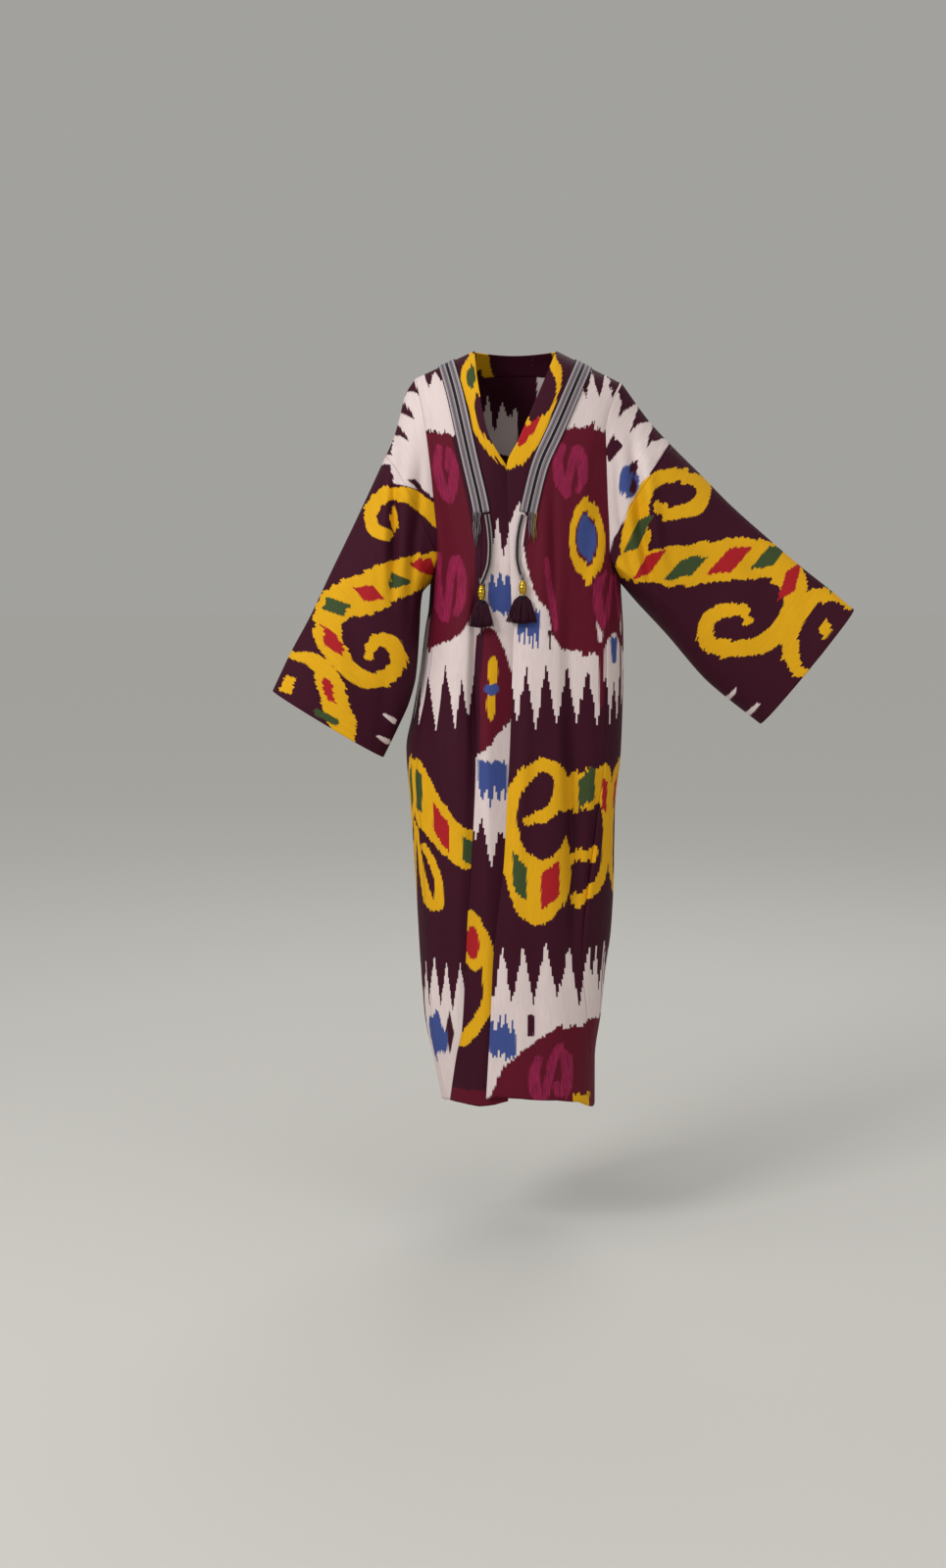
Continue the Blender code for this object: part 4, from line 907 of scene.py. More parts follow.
def goreDye(name, mid, shift):
    # the front's design runs on round the side and turns over there
    z = mid[..., 2]
    step = np.linalg.norm(np.diff(mid, axis=1), axis=2)
    run = np.concatenate([np.zeros((len(step), 1)), np.cumsum(step, axis=1)], axis=1)
    if name == "goreRight":
        run = run[:, -1:] - run
    reach = np.minimum(run, run.max(axis=1, keepdims=True) - run)
    if name == "goreLeft":
        turn = layout["turnLeft"]
        return dye(frontLeftDesign, turn - np.abs(turn - mid[:, :1, 0] - reach), z, shift)
    turn = layout["turnRight"]
    return dye(frontRightDesign, turn + np.abs(mid[:, -1:, 0] - reach - turn), z, shift)


def dyeOf(name, piece):
    grid = piece["flatGrid"] * 100
    if piece["warp"] == "round":
        mid = (grid[:-1] + grid[1:]) / 2
        side = "Left" if "Left" in name else "Right"
        across = acrossWarp[side]
        shift = bundleShift(len(mid), 31 + len(name))[:, None]
        return dye(sleeveLeftDesign if side == "Left" else sleeveRightDesign,
                   mid[..., 0] - shift * across[0], mid[..., 2] - shift * across[1], shift * 0)
    mid = (grid[:, :-1] + grid[:, 1:]) / 2
    shift = bundleShift(mid.shape[1], len(name))[None, :]
    x, z = mid[..., 0], mid[..., 2]
    if "gore" in name:
        return goreDye(name, mid, shift)
    if name == "neckBandBack":
        return dye(bandDesign, x, -grid[:, :-1, 1] * layout["napeScale"] - layout["napeStart"], shift)
    if name == "frontStripRight":
        above = z > layout["stripZ"] + layout["stripSlope"] * (x - layout["stripX"])
        return np.where(above[..., None], dye(bandDesign, x, z, shift), dye(stripDesign, x, z, shift))
    if name == "backPanel":
        second = x < layout["backSeam"]     # two loom widths that repeat, sewn a little out of step
        return dye(frontLeftDesign, x + layout["repeatX"] * second, z + layout["repeatZ"] * second, shift)
    return dye({"frontLeft": frontLeftDesign, "frontRight": frontRightDesign,
                "neckBandLeft": bandDesign}[name], x, z, shift)


def facesOf(n, m, tube):
    j, i = np.meshgrid(np.arange(n - 1), np.arange(m if tube else m - 1), indexing="ij")
    j, i = j.ravel(), i.ravel()
    k = (i + 1) % m
    return np.stack([j * m + i, (j + 1) * m + i, (j + 1) * m + k, j * m + k], 1)


def rimOf(n, m):
    # once round the border of a grid
    return ([j * m for j in range(n)] + [(n - 1) * m + i for i in range(1, m)]
            + [j * m + m - 1 for j in range(n - 2, -1, -1)] + list(range(m - 2, 0, -1)))


def sharedNormals():
    # one outward direction for each place, the same for all pieces that meet there
    total, keys = {}, {}
    for name, piece in pieces.items():
        grid = piece["grid"]
        pts = grid.reshape(-1, 3)
        quads = facesOf(*grid.shape[:2], piece["tube"])
        a, b, c, d = (pts[quads[:, i]] for i in range(4))
        n = unit(np.cross(c - a, b - d) * -piece["sign"], 1e-12)
        sums = np.zeros(pts.shape)
        for i in range(4):
            np.add.at(sums, quads[:, i], n)
        piece["sums"] = sums
        edge = np.ones(grid.shape[:2], bool)
        edge[1:-1, 1:-1] = False
        keys[name] = [(i, tuple(np.round(pts[i] * 2500).astype(int))) for i in np.flatnonzero(edge.ravel())]
        for i, key in keys[name]:
            total[key] = total.get(key, 0) + sums[i]
    for name, piece in pieces.items():
        sums = piece["sums"]
        for i, key in keys[name]:
            sums[i] = total[key]
        piece["normals"] = unit(sums, 1e-12).reshape(piece["grid"].shape)


def pull(edge, inner):
    return edge + unit(inner - edge, 1e-6) * seamGap / 2


def trim(grid, tube):
    # the grid drawn in by half a seam's gap at its edges
    g = grid.copy()
    g[0], g[-1] = pull(g[0], g[1]), pull(g[-1], g[-2])
    if not tube:
        g[:, 0], g[:, -1] = pull(g[:, 0], g[:, 1]), pull(g[:, -1], g[:, -2])
    return g


def newObject(name, mesh, material):
    mesh.materials.append(material)
    o = bpy.data.objects.new(name, mesh)
    bpy.context.scene.collection.objects.link(o)
    return o


def corners(mesh, name, values):
    layer = mesh.attributes.new(name, "FLOAT_VECTOR", "CORNER")
    layer.data.foreach_set("vector", np.ascontiguousarray(values, np.float32).ravel())


def clothShell(name, piece, material):
    # both faces of the cloth and its cut edges, with the dye kept thread by thread
    tube, sign, n, m = piece["tube"], piece["sign"], *piece["grid"].shape[:2]
    grid = trim(piece["grid"], tube)
    mid, nor = grid.reshape(-1, 3), piece["normals"].reshape(-1, 3)
    verts = np.concatenate([mid + nor * wallThick / 2, mid - nor * wallThick / 2])
    quads = facesOf(n, m, tube)
    k = n * m
    field = dyeOf(name, piece)
    rows, cols = np.divmod(np.arange(len(quads)), m if tube else m - 1)
    right = (cols + 1) % m if tube else cols + 1
    here = field[rows, cols]
    if piece["warp"] == "down":
        after = field[rows + 1, cols]
        cells = np.stack([here, after, after, here], 1)
    else:
        after = field[rows, right]
        cells = np.stack([here, here, after, after], 1)
    pitch = [np.median(np.linalg.norm(np.diff(grid, axis=a), axis=2)) for a in (1, 0)]
    i0, j0 = cols * pitch[0], rows * pitch[1]
    i1, j1 = i0 + pitch[0], j0 + pitch[1]
    spot = np.stack([np.stack(p, 1) for p in ((i0, j0), (i0, j1), (i1, j1), (i1, j0))], 1)
    if piece["warp"] == "round":
        spot = spot[..., ::-1]
    place = np.concatenate([spot, np.zeros(spot.shape[:2] + (1,))], 2)
    if sign < 0:
        quads, cells, place = quads[:, ::-1], cells[:, ::-1], place[:, ::-1]
    loops = [list(range(m))[::-1], [(n - 1) * m + i for i in range(m)]] if tube else [rimOf(n, m)]
    near = {}
    for f, quad in enumerate(quads):
        for c, v in enumerate(quad):
            near.setdefault(int(v), (f, c))
    skirt, skirtCells, skirtPlace = [], [], []
    for loop in loops:
        for a, b in zip(loop, loop[1:] + loop[:1]):
            quad = [b, a, a + k, b + k]
            pick = [near[b], near[a], near[a], near[b]]
            if sign < 0:
                quad, pick = quad[::-1], pick[::-1]
            skirt.append(quad)
            skirtCells.append([cells[p] for p in pick])
            skirtPlace.append([place[p] for p in pick])
    faces = np.concatenate([quads, quads[:, ::-1] + k, np.array(skirt)])
    cells = np.concatenate([cells, cells[:, ::-1], np.array(skirtCells)]) / 100
    place = np.concatenate([place, place[:, ::-1], np.array(skirtPlace)])
    mesh = bpy.data.meshes.new(name)
    mesh.from_pydata(verts.tolist(), [], faces.tolist())
    mesh.polygons.foreach_set("use_smooth", np.arange(len(faces)) < 2 * len(quads))
    for i, layer in enumerate(("dyeA", "dyeB", "dyeC")):
        corners(mesh, layer, cells[..., 3 * i:3 * i + 3])
    corners(mesh, "cloth", place)
    mesh.update()
    return newObject(name, mesh, material)


def linear(code):
    rgb = [int(code[i:i + 2], 16) / 255 for i in (0, 2, 4)]
    return tuple(c / 12.92 if c < 0.04045 else ((c + 0.055) / 1.055) ** 2.4 for c in rgb) + (1.0,)


def link(tree, a, b):
    tree.links.new(a, b)


def feed(tree, socket, v):
    # a socket takes another socket, a colour code or a plain value
    if isinstance(v, bpy.types.NodeSocket):
        link(tree, v, socket)
    else:
        socket.default_value = linear(v) if isinstance(v, str) else v


def mathNode(tree, operation, *values, clamp=False):
    n = tree.nodes.new("ShaderNodeMath")
    n.operation, n.use_clamp = operation, clamp
    for i, v in enumerate(values):
        feed(tree, n.inputs[i], v)
    return n.outputs[0]


def times(tree, a, b):
    return mathNode(tree, "MULTIPLY", a, b)


def timesPlus(tree, a, b, c, clamp=False):
    return mathNode(tree, "MULTIPLY_ADD", a, b, c, clamp=clamp)


def wave(tree, place, perUnit):
    return mathNode(tree, "SINE", times(tree, place, perUnit))


def separate(tree, vector):
    n = tree.nodes.new("ShaderNodeSeparateXYZ")
    link(tree, vector, n.inputs[0])
    return list(n.outputs)


def noiseNode(tree, vector, scale, detail=2.0, stretch=None, flat=False):
    if stretch:
        n = tree.nodes.new("ShaderNodeMapping")
        n.inputs["Scale"].default_value = stretch
        link(tree, vector, n.inputs["Vector"])
        vector = n.outputs[0]
    n = tree.nodes.new("ShaderNodeTexNoise")
    if flat:
        n.noise_dimensions = "2D"
    n.inputs["Scale"].default_value, n.inputs["Detail"].default_value = scale, detail
    link(tree, vector, n.inputs["Vector"])
    return n.outputs["Fac"]


def blend(tree, share, dark, pale):
    n = tree.nodes.new("ShaderNodeMix")
    n.data_type = "RGBA"
    feed(tree, n.inputs["Factor"], share)
    feed(tree, n.inputs[6], dark)
    feed(tree, n.inputs[7], pale)
    return n.outputs[2]


def brighten(tree, colour, value):
    n = tree.nodes.new("ShaderNodeHueSaturation")
    link(tree, colour, n.inputs["Color"])
    link(tree, value, n.inputs["Value"])
    return n.outputs[0]


def finishShader(tree, shader, colour, height, strength, distance):
    # colour and bump of a material
    link(tree, colour, shader.inputs["Base Color"])
    n = tree.nodes.new("ShaderNodeBump")
    n.inputs["Strength"].default_value, n.inputs["Distance"].default_value = strength, distance
    link(tree, height, n.inputs["Height"])
    link(tree, n.outputs[0], shader.inputs["Normal"])


def group(name, inputs, outputs):
    tree = bpy.data.node_groups.new(name, "ShaderNodeTree")
    for label, v in inputs.items():
        kind = "NodeSocketVector" if v is None else "NodeSocketFloat"
        s = tree.interface.new_socket(label, in_out="INPUT", socket_type=kind)
        if v is not None:
            s.default_value = v
    for label, kind in outputs.items():
        tree.interface.new_socket(label, in_out="OUTPUT", socket_type="NodeSocket" + kind)
    return tree, tree.nodes.new("NodeGroupInput").outputs, tree.nodes.new("NodeGroupOutput").inputs


def place(tree, inner, **values):
    n = tree.nodes.new("ShaderNodeGroup")
    n.node_tree = inner
    for label, v in values.items():
        feed(tree, n.inputs[label], v)
    return n.outputs


dyes = {"plum": "3a0e20", "white": "dccbc9", "burgundy": "5e1024", "pink": "96224b", "yellow": "dda414",
        "blue": "3f4f8c", "red": "a81d24", "green": "3c4c2c"}
# warp threads in a metre, noise along them in a metre, length of the fray in metres, edge per metre
warpDye = {"threads": 1250.0, "along": 45.0, "noise": 0.83, "fray": 0.0022, "middle": 0.28,
           "sharp": 900.0, "soft": 420.0, "softOnes": ("blue", "pink", "burgundy"), "thin": (2.2, -0.30)}


def buildDyeGroup():
    # colours of the warp threads from the distances to each colour's edge
    tree, gin, gout = group("warp dye", {"dyeA": None, "dyeB": None, "dyeC": None, "cloth": None,
                                         "fray": warpDye["fray"]}, {"colour": "Color"})
    across, down, _ = separate(tree, gin["cloth"])
    spot = tree.nodes.new("ShaderNodeCombineXYZ")
    link(tree, mathNode(tree, "FLOOR", times(tree, across, warpDye["threads"])), spot.inputs[0])
    link(tree, times(tree, down, warpDye["along"]), spot.inputs[1])
    noise = noiseNode(tree, spot.outputs[0], warpDye["noise"], flat=True)
    fray = times(tree, mathNode(tree, "SUBTRACT", noise, warpDye["middle"]), gin["fray"])
    fields = [socket for label in ("dyeA", "dyeB", "dyeC") for socket in separate(tree, gin[label])]
    colour = dyes["plum"]
    for name, field in zip(dyeNames, fields):
        edge = warpDye["soft" if name in warpDye["softOnes"] else "sharp"]
        mask = timesPlus(tree, mathNode(tree, "ADD", field, fray), edge, 0.5, clamp=True)
        if name == "pink":      # the ground shows through it in streaks
            mask = times(tree, mask, timesPlus(tree, noise, *warpDye["thin"], clamp=True))
        colour = blend(tree, mask, colour, dyes[name])
    link(tree, colour, gout["colour"])
    return tree


# ribs and threads in a metre, their share of the height, scales of the streaks, slubs and worn places
weave = {"ribs": 900.0, "threads": 1600.0, "ribHigh": 0.35, "threadHigh": 0.15, "streak": (620, 26, 1),
         "slub": (40, 900, 1), "worn": 9.0}


def buildWeaveGroup():
    # ribbed weave: fine warp threads over thicker weft, with slubs and streaks along the warp
    tree, gin, gout = group("ribbed weave", {"cloth": None},
                            {"height": "Float", "streak": "Float", "worn": "Float"})
    across, down, _ = separate(tree, gin["cloth"])
    ribs = wave(tree, down, weave["ribs"] * fullTurn)
    threads = wave(tree, across, weave["threads"] * fullTurn)
    slub = noiseNode(tree, gin["cloth"], 1.0, stretch=weave["slub"])
    height = timesPlus(tree, ribs, weave["ribHigh"], timesPlus(tree, threads, weave["threadHigh"], slub))
    link(tree, height, gout["height"])
    link(tree, noiseNode(tree, gin["cloth"], 1.0, 3.0, weave["streak"]), gout["streak"])
    link(tree, noiseNode(tree, gin["cloth"], weave["worn"], 3.0), gout["worn"])
    return tree


dyeGroup, weaveGroup = buildDyeGroup(), buildWeaveGroup()


def material(name, rough, **sockets):
    m = bpy.data.materials.new(name)
    m.use_nodes = True
    shader = m.node_tree.nodes["Principled BSDF"]
    shader.inputs["Roughness"].default_value = rough
    for label, v in sockets.items():
        shader.inputs[label.replace("_", " ")].default_value = v
    return m, m.node_tree, shader


def attribute(tree, name):
    n = tree.nodes.new("ShaderNodeAttribute")
    n.attribute_type, n.attribute_name = "GEOMETRY", name
    return n.outputs["Vector"]


silk = {"rough": 0.66, "roughVaries": 0.16, "streak": 0.30, "worn": 0.22, "bump": 0.35, "deep": 0.0004}
clothMaterial, tree, shader = material("ikat silk and cotton", silk["rough"], Specular_IOR_Level=0.12)
spot = attribute(tree, "cloth")
dyed = place(tree, dyeGroup, dyeA=attribute(tree, "dyeA"), dyeB=attribute(tree, "dyeB"),
             dyeC=attribute(tree, "dyeC"), cloth=spot)
woven = place(tree, weaveGroup, cloth=spot)
bright = timesPlus(tree, mathNode(tree, "SUBTRACT", woven["streak"], 0.5), silk["streak"], 1.0)
bright = timesPlus(tree, mathNode(tree, "SUBTRACT", woven["worn"], 0.5), silk["worn"], bright)
link(tree, timesPlus(tree, woven["worn"], silk["roughVaries"], silk["rough"] - silk["roughVaries"] / 2),
     shader.inputs["Roughness"])
finishShader(tree, shader, brighten(tree, dyed["colour"], bright), woven["height"], silk["bump"],
             silk["deep"])

sharedNormals()
shells = {name: clothShell(name, piece, clothMaterial) for name, piece in pieces.items()}
print("cloth shells", sum(len(o.data.polygons) for o in shells.values()) * 2, "triangles")

# surface of the whole cloth, to lay the trims on
topPoints, topFaces, base = [], [], 0
for piece in pieces.values():
    n, m = piece["grid"].shape[:2]
    topPoints.append((piece["grid"] + piece["normals"] * wallThick / 2).reshape(-1, 3))
    quads = facesOf(n, m, piece["tube"])
    topFaces.append((quads if piece["sign"] > 0 else quads[:, ::-1]) + base)
    base += n * m
cover = BVHTree.FromPolygons(np.concatenate(topPoints).tolist(), np.concatenate(topFaces).tolist())


def resample(points, pitch):
    p = np.asarray(points, float)
    run = runOf(p)
    at = np.linspace(0, run[-1], int(run[-1] / pitch) + 1)
    return np.stack([np.interp(at, run, p[:, c]) for c in range(3)], 1)


def calm(rows, times):
    # each row but the first and last drawn towards its neighbours
    for _ in range(times):
        rows[1:-1] = (rows[:-2] + 2 * rows[1:-1] + rows[2:]) / 4


def places(mesh, spots):
    layer = mesh.attributes.new("cloth", "FLOAT_VECTOR", "POINT")
    layer.data.foreach_set("vector", np.asarray(spots, np.float32).ravel())


def sheetMesh(name, grid, normals, thick, material):
    # closed strip from a grid, with its own across and along places
    n, m = grid.shape[:2]
    mid, nor = grid.reshape(-1, 3), normals.reshape(-1, 3)
    k = n * m
    quads, loop = facesOf(n, m, False), rimOf(n, m)
    skirt = [[b, a, a + k, b + k] for a, b in zip(loop, loop[1:] + loop[:1])]
    faces = quads.tolist() + (quads[:, ::-1] + k).tolist() + skirt
    mesh = bpy.data.meshes.new(name)
    mesh.from_pydata(np.concatenate([mid + nor * thick / 2, mid - nor * thick / 2]).tolist(), [], faces)
    mesh.polygons.foreach_set("use_smooth", [f < 2 * len(quads) for f in range(len(faces))])
    across, downs = runOf(grid[n // 2]), runOf(grid[:, m // 2])
    j, i = np.divmod(np.arange(k), m)
    spots = np.stack([across[i] - across[-1] / 2, downs[j], np.zeros(k)], 1)
    places(mesh, np.concatenate([spots, spots]))
    mesh.update()
    return newObject(name, mesh, material)


# half width, thickness, rise off the cloth, height of its ribs, depth of the groove between its halves
braidWork = {"half": 0.0148, "thick": 0.0016, "lift": 0.0005, "crown": 0.0006, "groove": 0.0007,
             "pitch": 0.0022, "pale": "a59ba0", "grey": "776d73", "line": "31272e", "black": "0a0609"}


def buildBraidMaterial():
    # two striped halves with a black line between them and a painted shadow line along each outer edge;
    # across is in metres from the middle
    m, tree, shader = material("woven braid", 0.7, Specular_IOR_Level=0.25, Sheen_Weight=0.04)
    spot = attribute(tree, "cloth")
    across, down, _ = separate(tree, spot)
    out = mathNode(tree, "ABSOLUTE", across)
    ramp = tree.nodes.new("ShaderNodeValToRGB")
    link(tree, times(tree, out, 1 / braidWork["half"]), ramp.inputs[0])
    # the black from 0.93 to 1.0 at the outer edges is painted shadow where the braid meets the cloth; the
    # black from 0 to 0.17 is the braid's own middle line
    stops = ((0.0, "black"), (0.17, "black"), (0.21, "pale"), (0.27, "pale"), (0.31, "grey"), (0.49, "grey"),
             (0.52, "line"), (0.56, "line"), (0.59, "grey"), (0.72, "grey"), (0.76, "pale"), (0.88, "pale"),
             (0.93, "black"), (1.0, "black"))
    while len(ramp.color_ramp.elements) < len(stops):
        ramp.color_ramp.elements.new(0.5)
    for e, (at, tint) in zip(ramp.color_ramp.elements, stops):
        e.position, e.color = at, linear(braidWork[tint])
    picks = wave(tree, mathNode(tree, "ADD", down, times(tree, out, 0.6)), fullTurn / braidWork["pitch"])
    speck = noiseNode(tree, spot, 700.0)
    value = timesPlus(tree, picks, 0.10, timesPlus(tree, speck, 0.5, 0.75))
    height = timesPlus(tree, picks, 0.4, speck)
    finishShader(tree, shader, brighten(tree, ramp.outputs[0], value), height, 0.5, 0.0005)
    return m


braidMaterial = buildBraidMaterial()
endZ = -0.262
down = [p for p in pieces["neckBandLeft"]["grid"][:, -1] if p[2] > endZ]
up = [p for p in pieces["frontStripRight"]["grid"][:, 0] if p[2] > endZ]
path = resample(down[::-1] + list(pieces["neckBandBack"]["grid"][-1, 1:-1]) + up, 0.004)
calm(path, 6)
ways = unit(np.gradient(path, axis=0))
ups = np.array([tuple(cover.find_nearest(Vector(p))[1]) for p in path])
calm(ups, 8)
ups = unit(ups)
sides = unit(np.cross(ways, ups))
braidGrid, braidNormals = [], []
for p, side, upward in zip(path, sides, ups):
    row = []
    for v in np.linspace(-1, 1, 27):
        want = Vector(p + side * v * braidWork["half"] + upward * 0.004)
        hit = cover.ray_cast(want + Vector(upward) * 0.02, -Vector(upward), 0.06)[0]
        if hit is None:
            hit = cover.find_nearest(want)[0]
        rise = braidWork["crown"] * (0.5 + 0.5 * abs(math.cos(v * math.pi * 1.5)))
        if abs(v) < 0.1:
            rise -= braidWork["groove"]
        row.append(np.array(hit) + upward * (braidWork["lift"] + braidWork["thick"] / 2 + rise))
    braidGrid.append(row)
    braidNormals.append([upward] * len(row))
braidGrid, braidNormals = np.array(braidGrid), np.array(braidNormals)
calm(braidGrid, 2)
braid = sheetMesh("neckBraid", braidGrid, braidNormals, braidWork["thick"], braidMaterial)
print("braid laid")


def yarnMaterial(name, pale, dark, rough=0.75, pitch=0.004):
    # plied yarn: light and dark by the slant of the ply
    m, tree, shader = material(name, rough, Specular_IOR_Level=0.22)
    about, down, _ = separate(tree, attribute(tree, "cloth"))
    slant = mathNode(tree, "ADD", times(tree, down, fullTurn / pitch), times(tree, about, fullTurn))
    ply = mathNode(tree, "SINE", slant)
    finishShader(tree, shader, blend(tree, timesPlus(tree, ply, 0.5, 0.5), dark, pale), ply, 0.4, 0.0003)
    return m


def tubesMesh(name, lines, radii, material, ring=5, flat=1.0):
    # many thin tubes in one mesh; each line is points, each radius a number or a number for each point
    verts, faces, spots = [], [], []
    for line, radius in zip(lines, radii):
        p = np.asarray(line, float)
        way = unit(np.gradient(p, axis=0))
        a = unit(np.cross(way, (0, 1, 0)))
        b = np.cross(way, a)
        r = np.broadcast_to(np.asarray(radius, float), (len(p),))
        run = runOf(p)
        start = len(verts)
        for j in range(len(p)):
            for i in range(ring):
                t = 2 * math.pi * i / ring
                verts.append(tuple(p[j] + a[j] * r[j] * math.cos(t) + b[j] * r[j] * math.sin(t) * flat))
                spots.append((i / ring, run[j], 0))
        faces += (facesOf(len(p), ring, True)[:, [0, 3, 2, 1]] + start).tolist()
        faces.append([start + i for i in range(ring)][::-1])
        faces.append([start + (len(p) - 1) * ring + i for i in range(ring)])
    mesh = bpy.data.meshes.new(name)
    mesh.from_pydata(verts, [], faces)
    mesh.polygons.foreach_set("use_smooth", [len(f) == 4 for f in faces])
    places(mesh, spots)
    mesh.update()
    return newObject(name, mesh, material)


def onFront(x, z, lift):
    # a place a little in front of the front cloth
    hit, _, _, _ = cover.ray_cast(Vector((x, -0.4, z)), Vector((0, 1, 0)), 0.6)
    return np.array((x, (hit[1] if hit else -0.13) - lift, z))


paleYarn = yarnMaterial("pale braid yarn", "988f8c", "5b5157", pitch=0.003)
darkYarn = yarnMaterial("dark braid yarn", "2c1c26", "120a10")
goldYarn = yarnMaterial("gold braid yarn", "a58a45", "6e5626")
tasselYarn = yarnMaterial("tassel silk", "400a24", "1c0412", 0.6, 0.0025)

# loose ends of the outer half: place, longest drop, width of the row, whether some yarns are gold
looseEnds = {"Right": dict(x=-0.0650, drop=0.060, width=0.0125, golden=False, seed=7),
             "Left": dict(x=0.0272, drop=0.058, width=0.0125, golden=True, seed=8)}
looseYarn = {"count": 15, "taper": (0.0006,) * 6 + (0.0005, 0.0004, 0.0002), "sway": 0.0012, "wave": 0.0006,
             "off": 0.0022, "offVaries": 0.0008}
loose = {}
for side, end in looseEnds.items():
    pick = np.random.default_rng(end["seed"])
    sets = {"pale": [], "dark": [], "gold": []}
    for n in range(looseYarn["count"]):
        v = (n / (looseYarn["count"] - 1) - 0.5) * end["width"]
        drop = end["drop"] * pick.uniform(0.62, 1.0)
        sway = pick.normal(0, looseYarn["sway"])
        kind = "dark" if n % 3 == 1 or pick.random() < 0.15 else "pale"
        if end["golden"] and n > 8 and n % 3:
            kind = "gold"
        line = []
        for t in np.linspace(0, 1, 9):
            x = end["x"] + v * (1 - 0.25 * t) + sway * t * t + looseYarn["wave"] * math.sin(9 * t + n)
            off = looseYarn["off"] + looseYarn["offVaries"] * math.sin(3 * t + n)
            line.append(onFront(x, endZ + 0.004 - drop * t, off))
        sets[kind].append(line)
    for kind, yarn in (("pale", paleYarn), ("dark", darkYarn), ("gold", goldYarn)):
        if sets[kind]:
            name = "looseEnds" + side + kind.title()
            loose[name] = tubesMesh(name, sets[kind], [looseYarn["taper"]] * len(sets[kind]), yarn)

# narrow ties: x, z and distance in front of the cloth
ties = {"Right": ((-0.0480, -0.2620, 0.0036), (-0.0440, -0.2900, 0.0034), (-0.0425, -0.3150, 0.0034),
                  (-0.0440, -0.3400, 0.0040), (-0.0505, -0.3620, 0.0070), (-0.0566, -0.3760, 0.0095)),
        "Left": ((0.0105, -0.2620, 0.0036), (0.0050, -0.2850, 0.0034), (0.0020, -0.3080, 0.0034),
                 (0.0015, -0.3300, 0.0040), (0.0050, -0.3520, 0.0070), (0.0105, -0.3680, 0.0095))}
tieSize = {"across": 0.0042, "through": 0.42, "diameter": 0.0048, "off": 0.0006, "plait": 0.003}


def buildTieMaterial():
    # two pale lines with dark between them round the tie, plaited
    m, tree, shader = material("plaited tie", 0.72, Specular_IOR_Level=0.22)
    about, down, _ = separate(tree, attribute(tree, "cloth"))
    band = mathNode(tree, "ABSOLUTE", mathNode(tree, "COSINE", times(tree, about, fullTurn)))
    slant = mathNode(tree, "ADD", times(tree, down, fullTurn / tieSize["plait"]), times(tree, band, 2.5))
    plait = mathNode(tree, "SINE", slant)
    mask = mathNode(tree, "MULTIPLY", mathNode(tree, "SUBTRACT", band, 0.42), 6.0, clamp=True)
    share = times(tree, mask, timesPlus(tree, plait, 0.15, 0.85))
    finishShader(tree, shader, blend(tree, share, "241a20", "a39a98"), plait, 0.5, 0.0004)
    return m


tieMaterial = buildTieMaterial()
gold = {"rough": 0.28, "tint": "d6b23a", "shade": "8f6c14", "grain": 320.0}
goldMaterial, tree, shader = material("gilt bead", gold["rough"], Metallic=0.92)
where = tree.nodes.new("ShaderNodeTexCoord")
speck = noiseNode(tree, where.outputs["Object"], gold["grain"], 4.0)
worn = blend(tree, timesPlus(tree, speck, 2.2, -0.5, clamp=True), gold["shade"], gold["tint"])
link(tree, timesPlus(tree, speck, 0.3, 0.16), shader.inputs["Roughness"])
finishShader(tree, shader, worn, speck, 0.3, 0.0003)

# barrel bead: drop from its top and radius
barrel = (
    (0.0, 0.0024), (0.0002, 0.0036), (0.0010, 0.0044), (0.0020, 0.0045), (0.0024, 0.0040), (0.0029, 0.0047),
    (0.0050, 0.0057), (0.0078, 0.0063), (0.0082, 0.0060), (0.0087, 0.0064), (0.0120, 0.0066),
    (0.0153, 0.0064), (0.0158, 0.0060), (0.0162, 0.0063), (0.0190, 0.0057), (0.0211, 0.0047),
    (0.0216, 0.0040), (0.0220, 0.0045), (0.0230, 0.0044), (0.0238, 0.0036), (0.0240, 0.0024))
trims = {"Right": dict(side=-1, x=-0.0570, z=-0.3785, seed=19, long=0.046, wide=0.0215, lean=0.02, swing=0.0),
         "Left": dict(side=1, x=0.0108, z=-0.3705, seed=17, long=0.047, wide=0.0260, lean=-0.05,
                      swing=-0.004)}
beadOff = 0.0105        # top of each bead in front of the cloth
tasselWork = {"threads": 260, "radius": 0.00055, "neck": 0.0052, "flat": 0.24, "below": 0.0249,
              "kink": 0.0006, "wrapX": 0.0060, "wrapY": 0.0040, "wrapRadius": 0.0007,
              "wrapDrops": (0.0012, 0.0024, 0.0036)}
tuftWork = {"count": 5, "taper": (0.0007, 0.0008, 0.0003), "apart": 0.0008}


def beadMesh(name, sides=28):
    verts = [(r * math.cos(2 * math.pi * i / sides), r * math.sin(2 * math.pi * i / sides), -h)
             for h, r in barrel for i in range(sides)]
    faces = facesOf(len(barrel), sides, True).tolist()
    faces += [list(range(sides)), [(len(barrel) - 1) * sides + i for i in range(sides)][::-1]]
    mesh = bpy.data.meshes.new(name)
    mesh.from_pydata(verts, [], faces)
    mesh.polygons.foreach_set("use_smooth", [len(f) == 4 for f in faces])
    return mesh


def tasselLines(neck, pick, long, wide, lean, swing):
    # threads that spread from a bound neck
    lines = []
    for _ in range(tasselWork["threads"]):
        a, r = pick.uniform(0, 2 * math.pi), math.sqrt(pick.random())
        drop = long * pick.uniform(0.93, 1.0)
        kink = pick.normal(0, tasselWork["kink"], 2)[0]
        across, line = r * math.cos(a), []
        for t in np.linspace(0, 1, 7):
            spreads = 0.22 * smooth(t / 0.12) + 0.78 * t ** 0.9
            half = mix(tasselWork["neck"], wide, spreads)
            x = across * half + kink * math.sin(5 * t) + swing * t - math.sin(lean) * drop * t
            y = r * math.sin(a) * half * tasselWork["flat"]
            line.append(neck + (x, y, -drop * t * (1 - 0.06 * abs(across))))
        lines.append(line)
    return lines


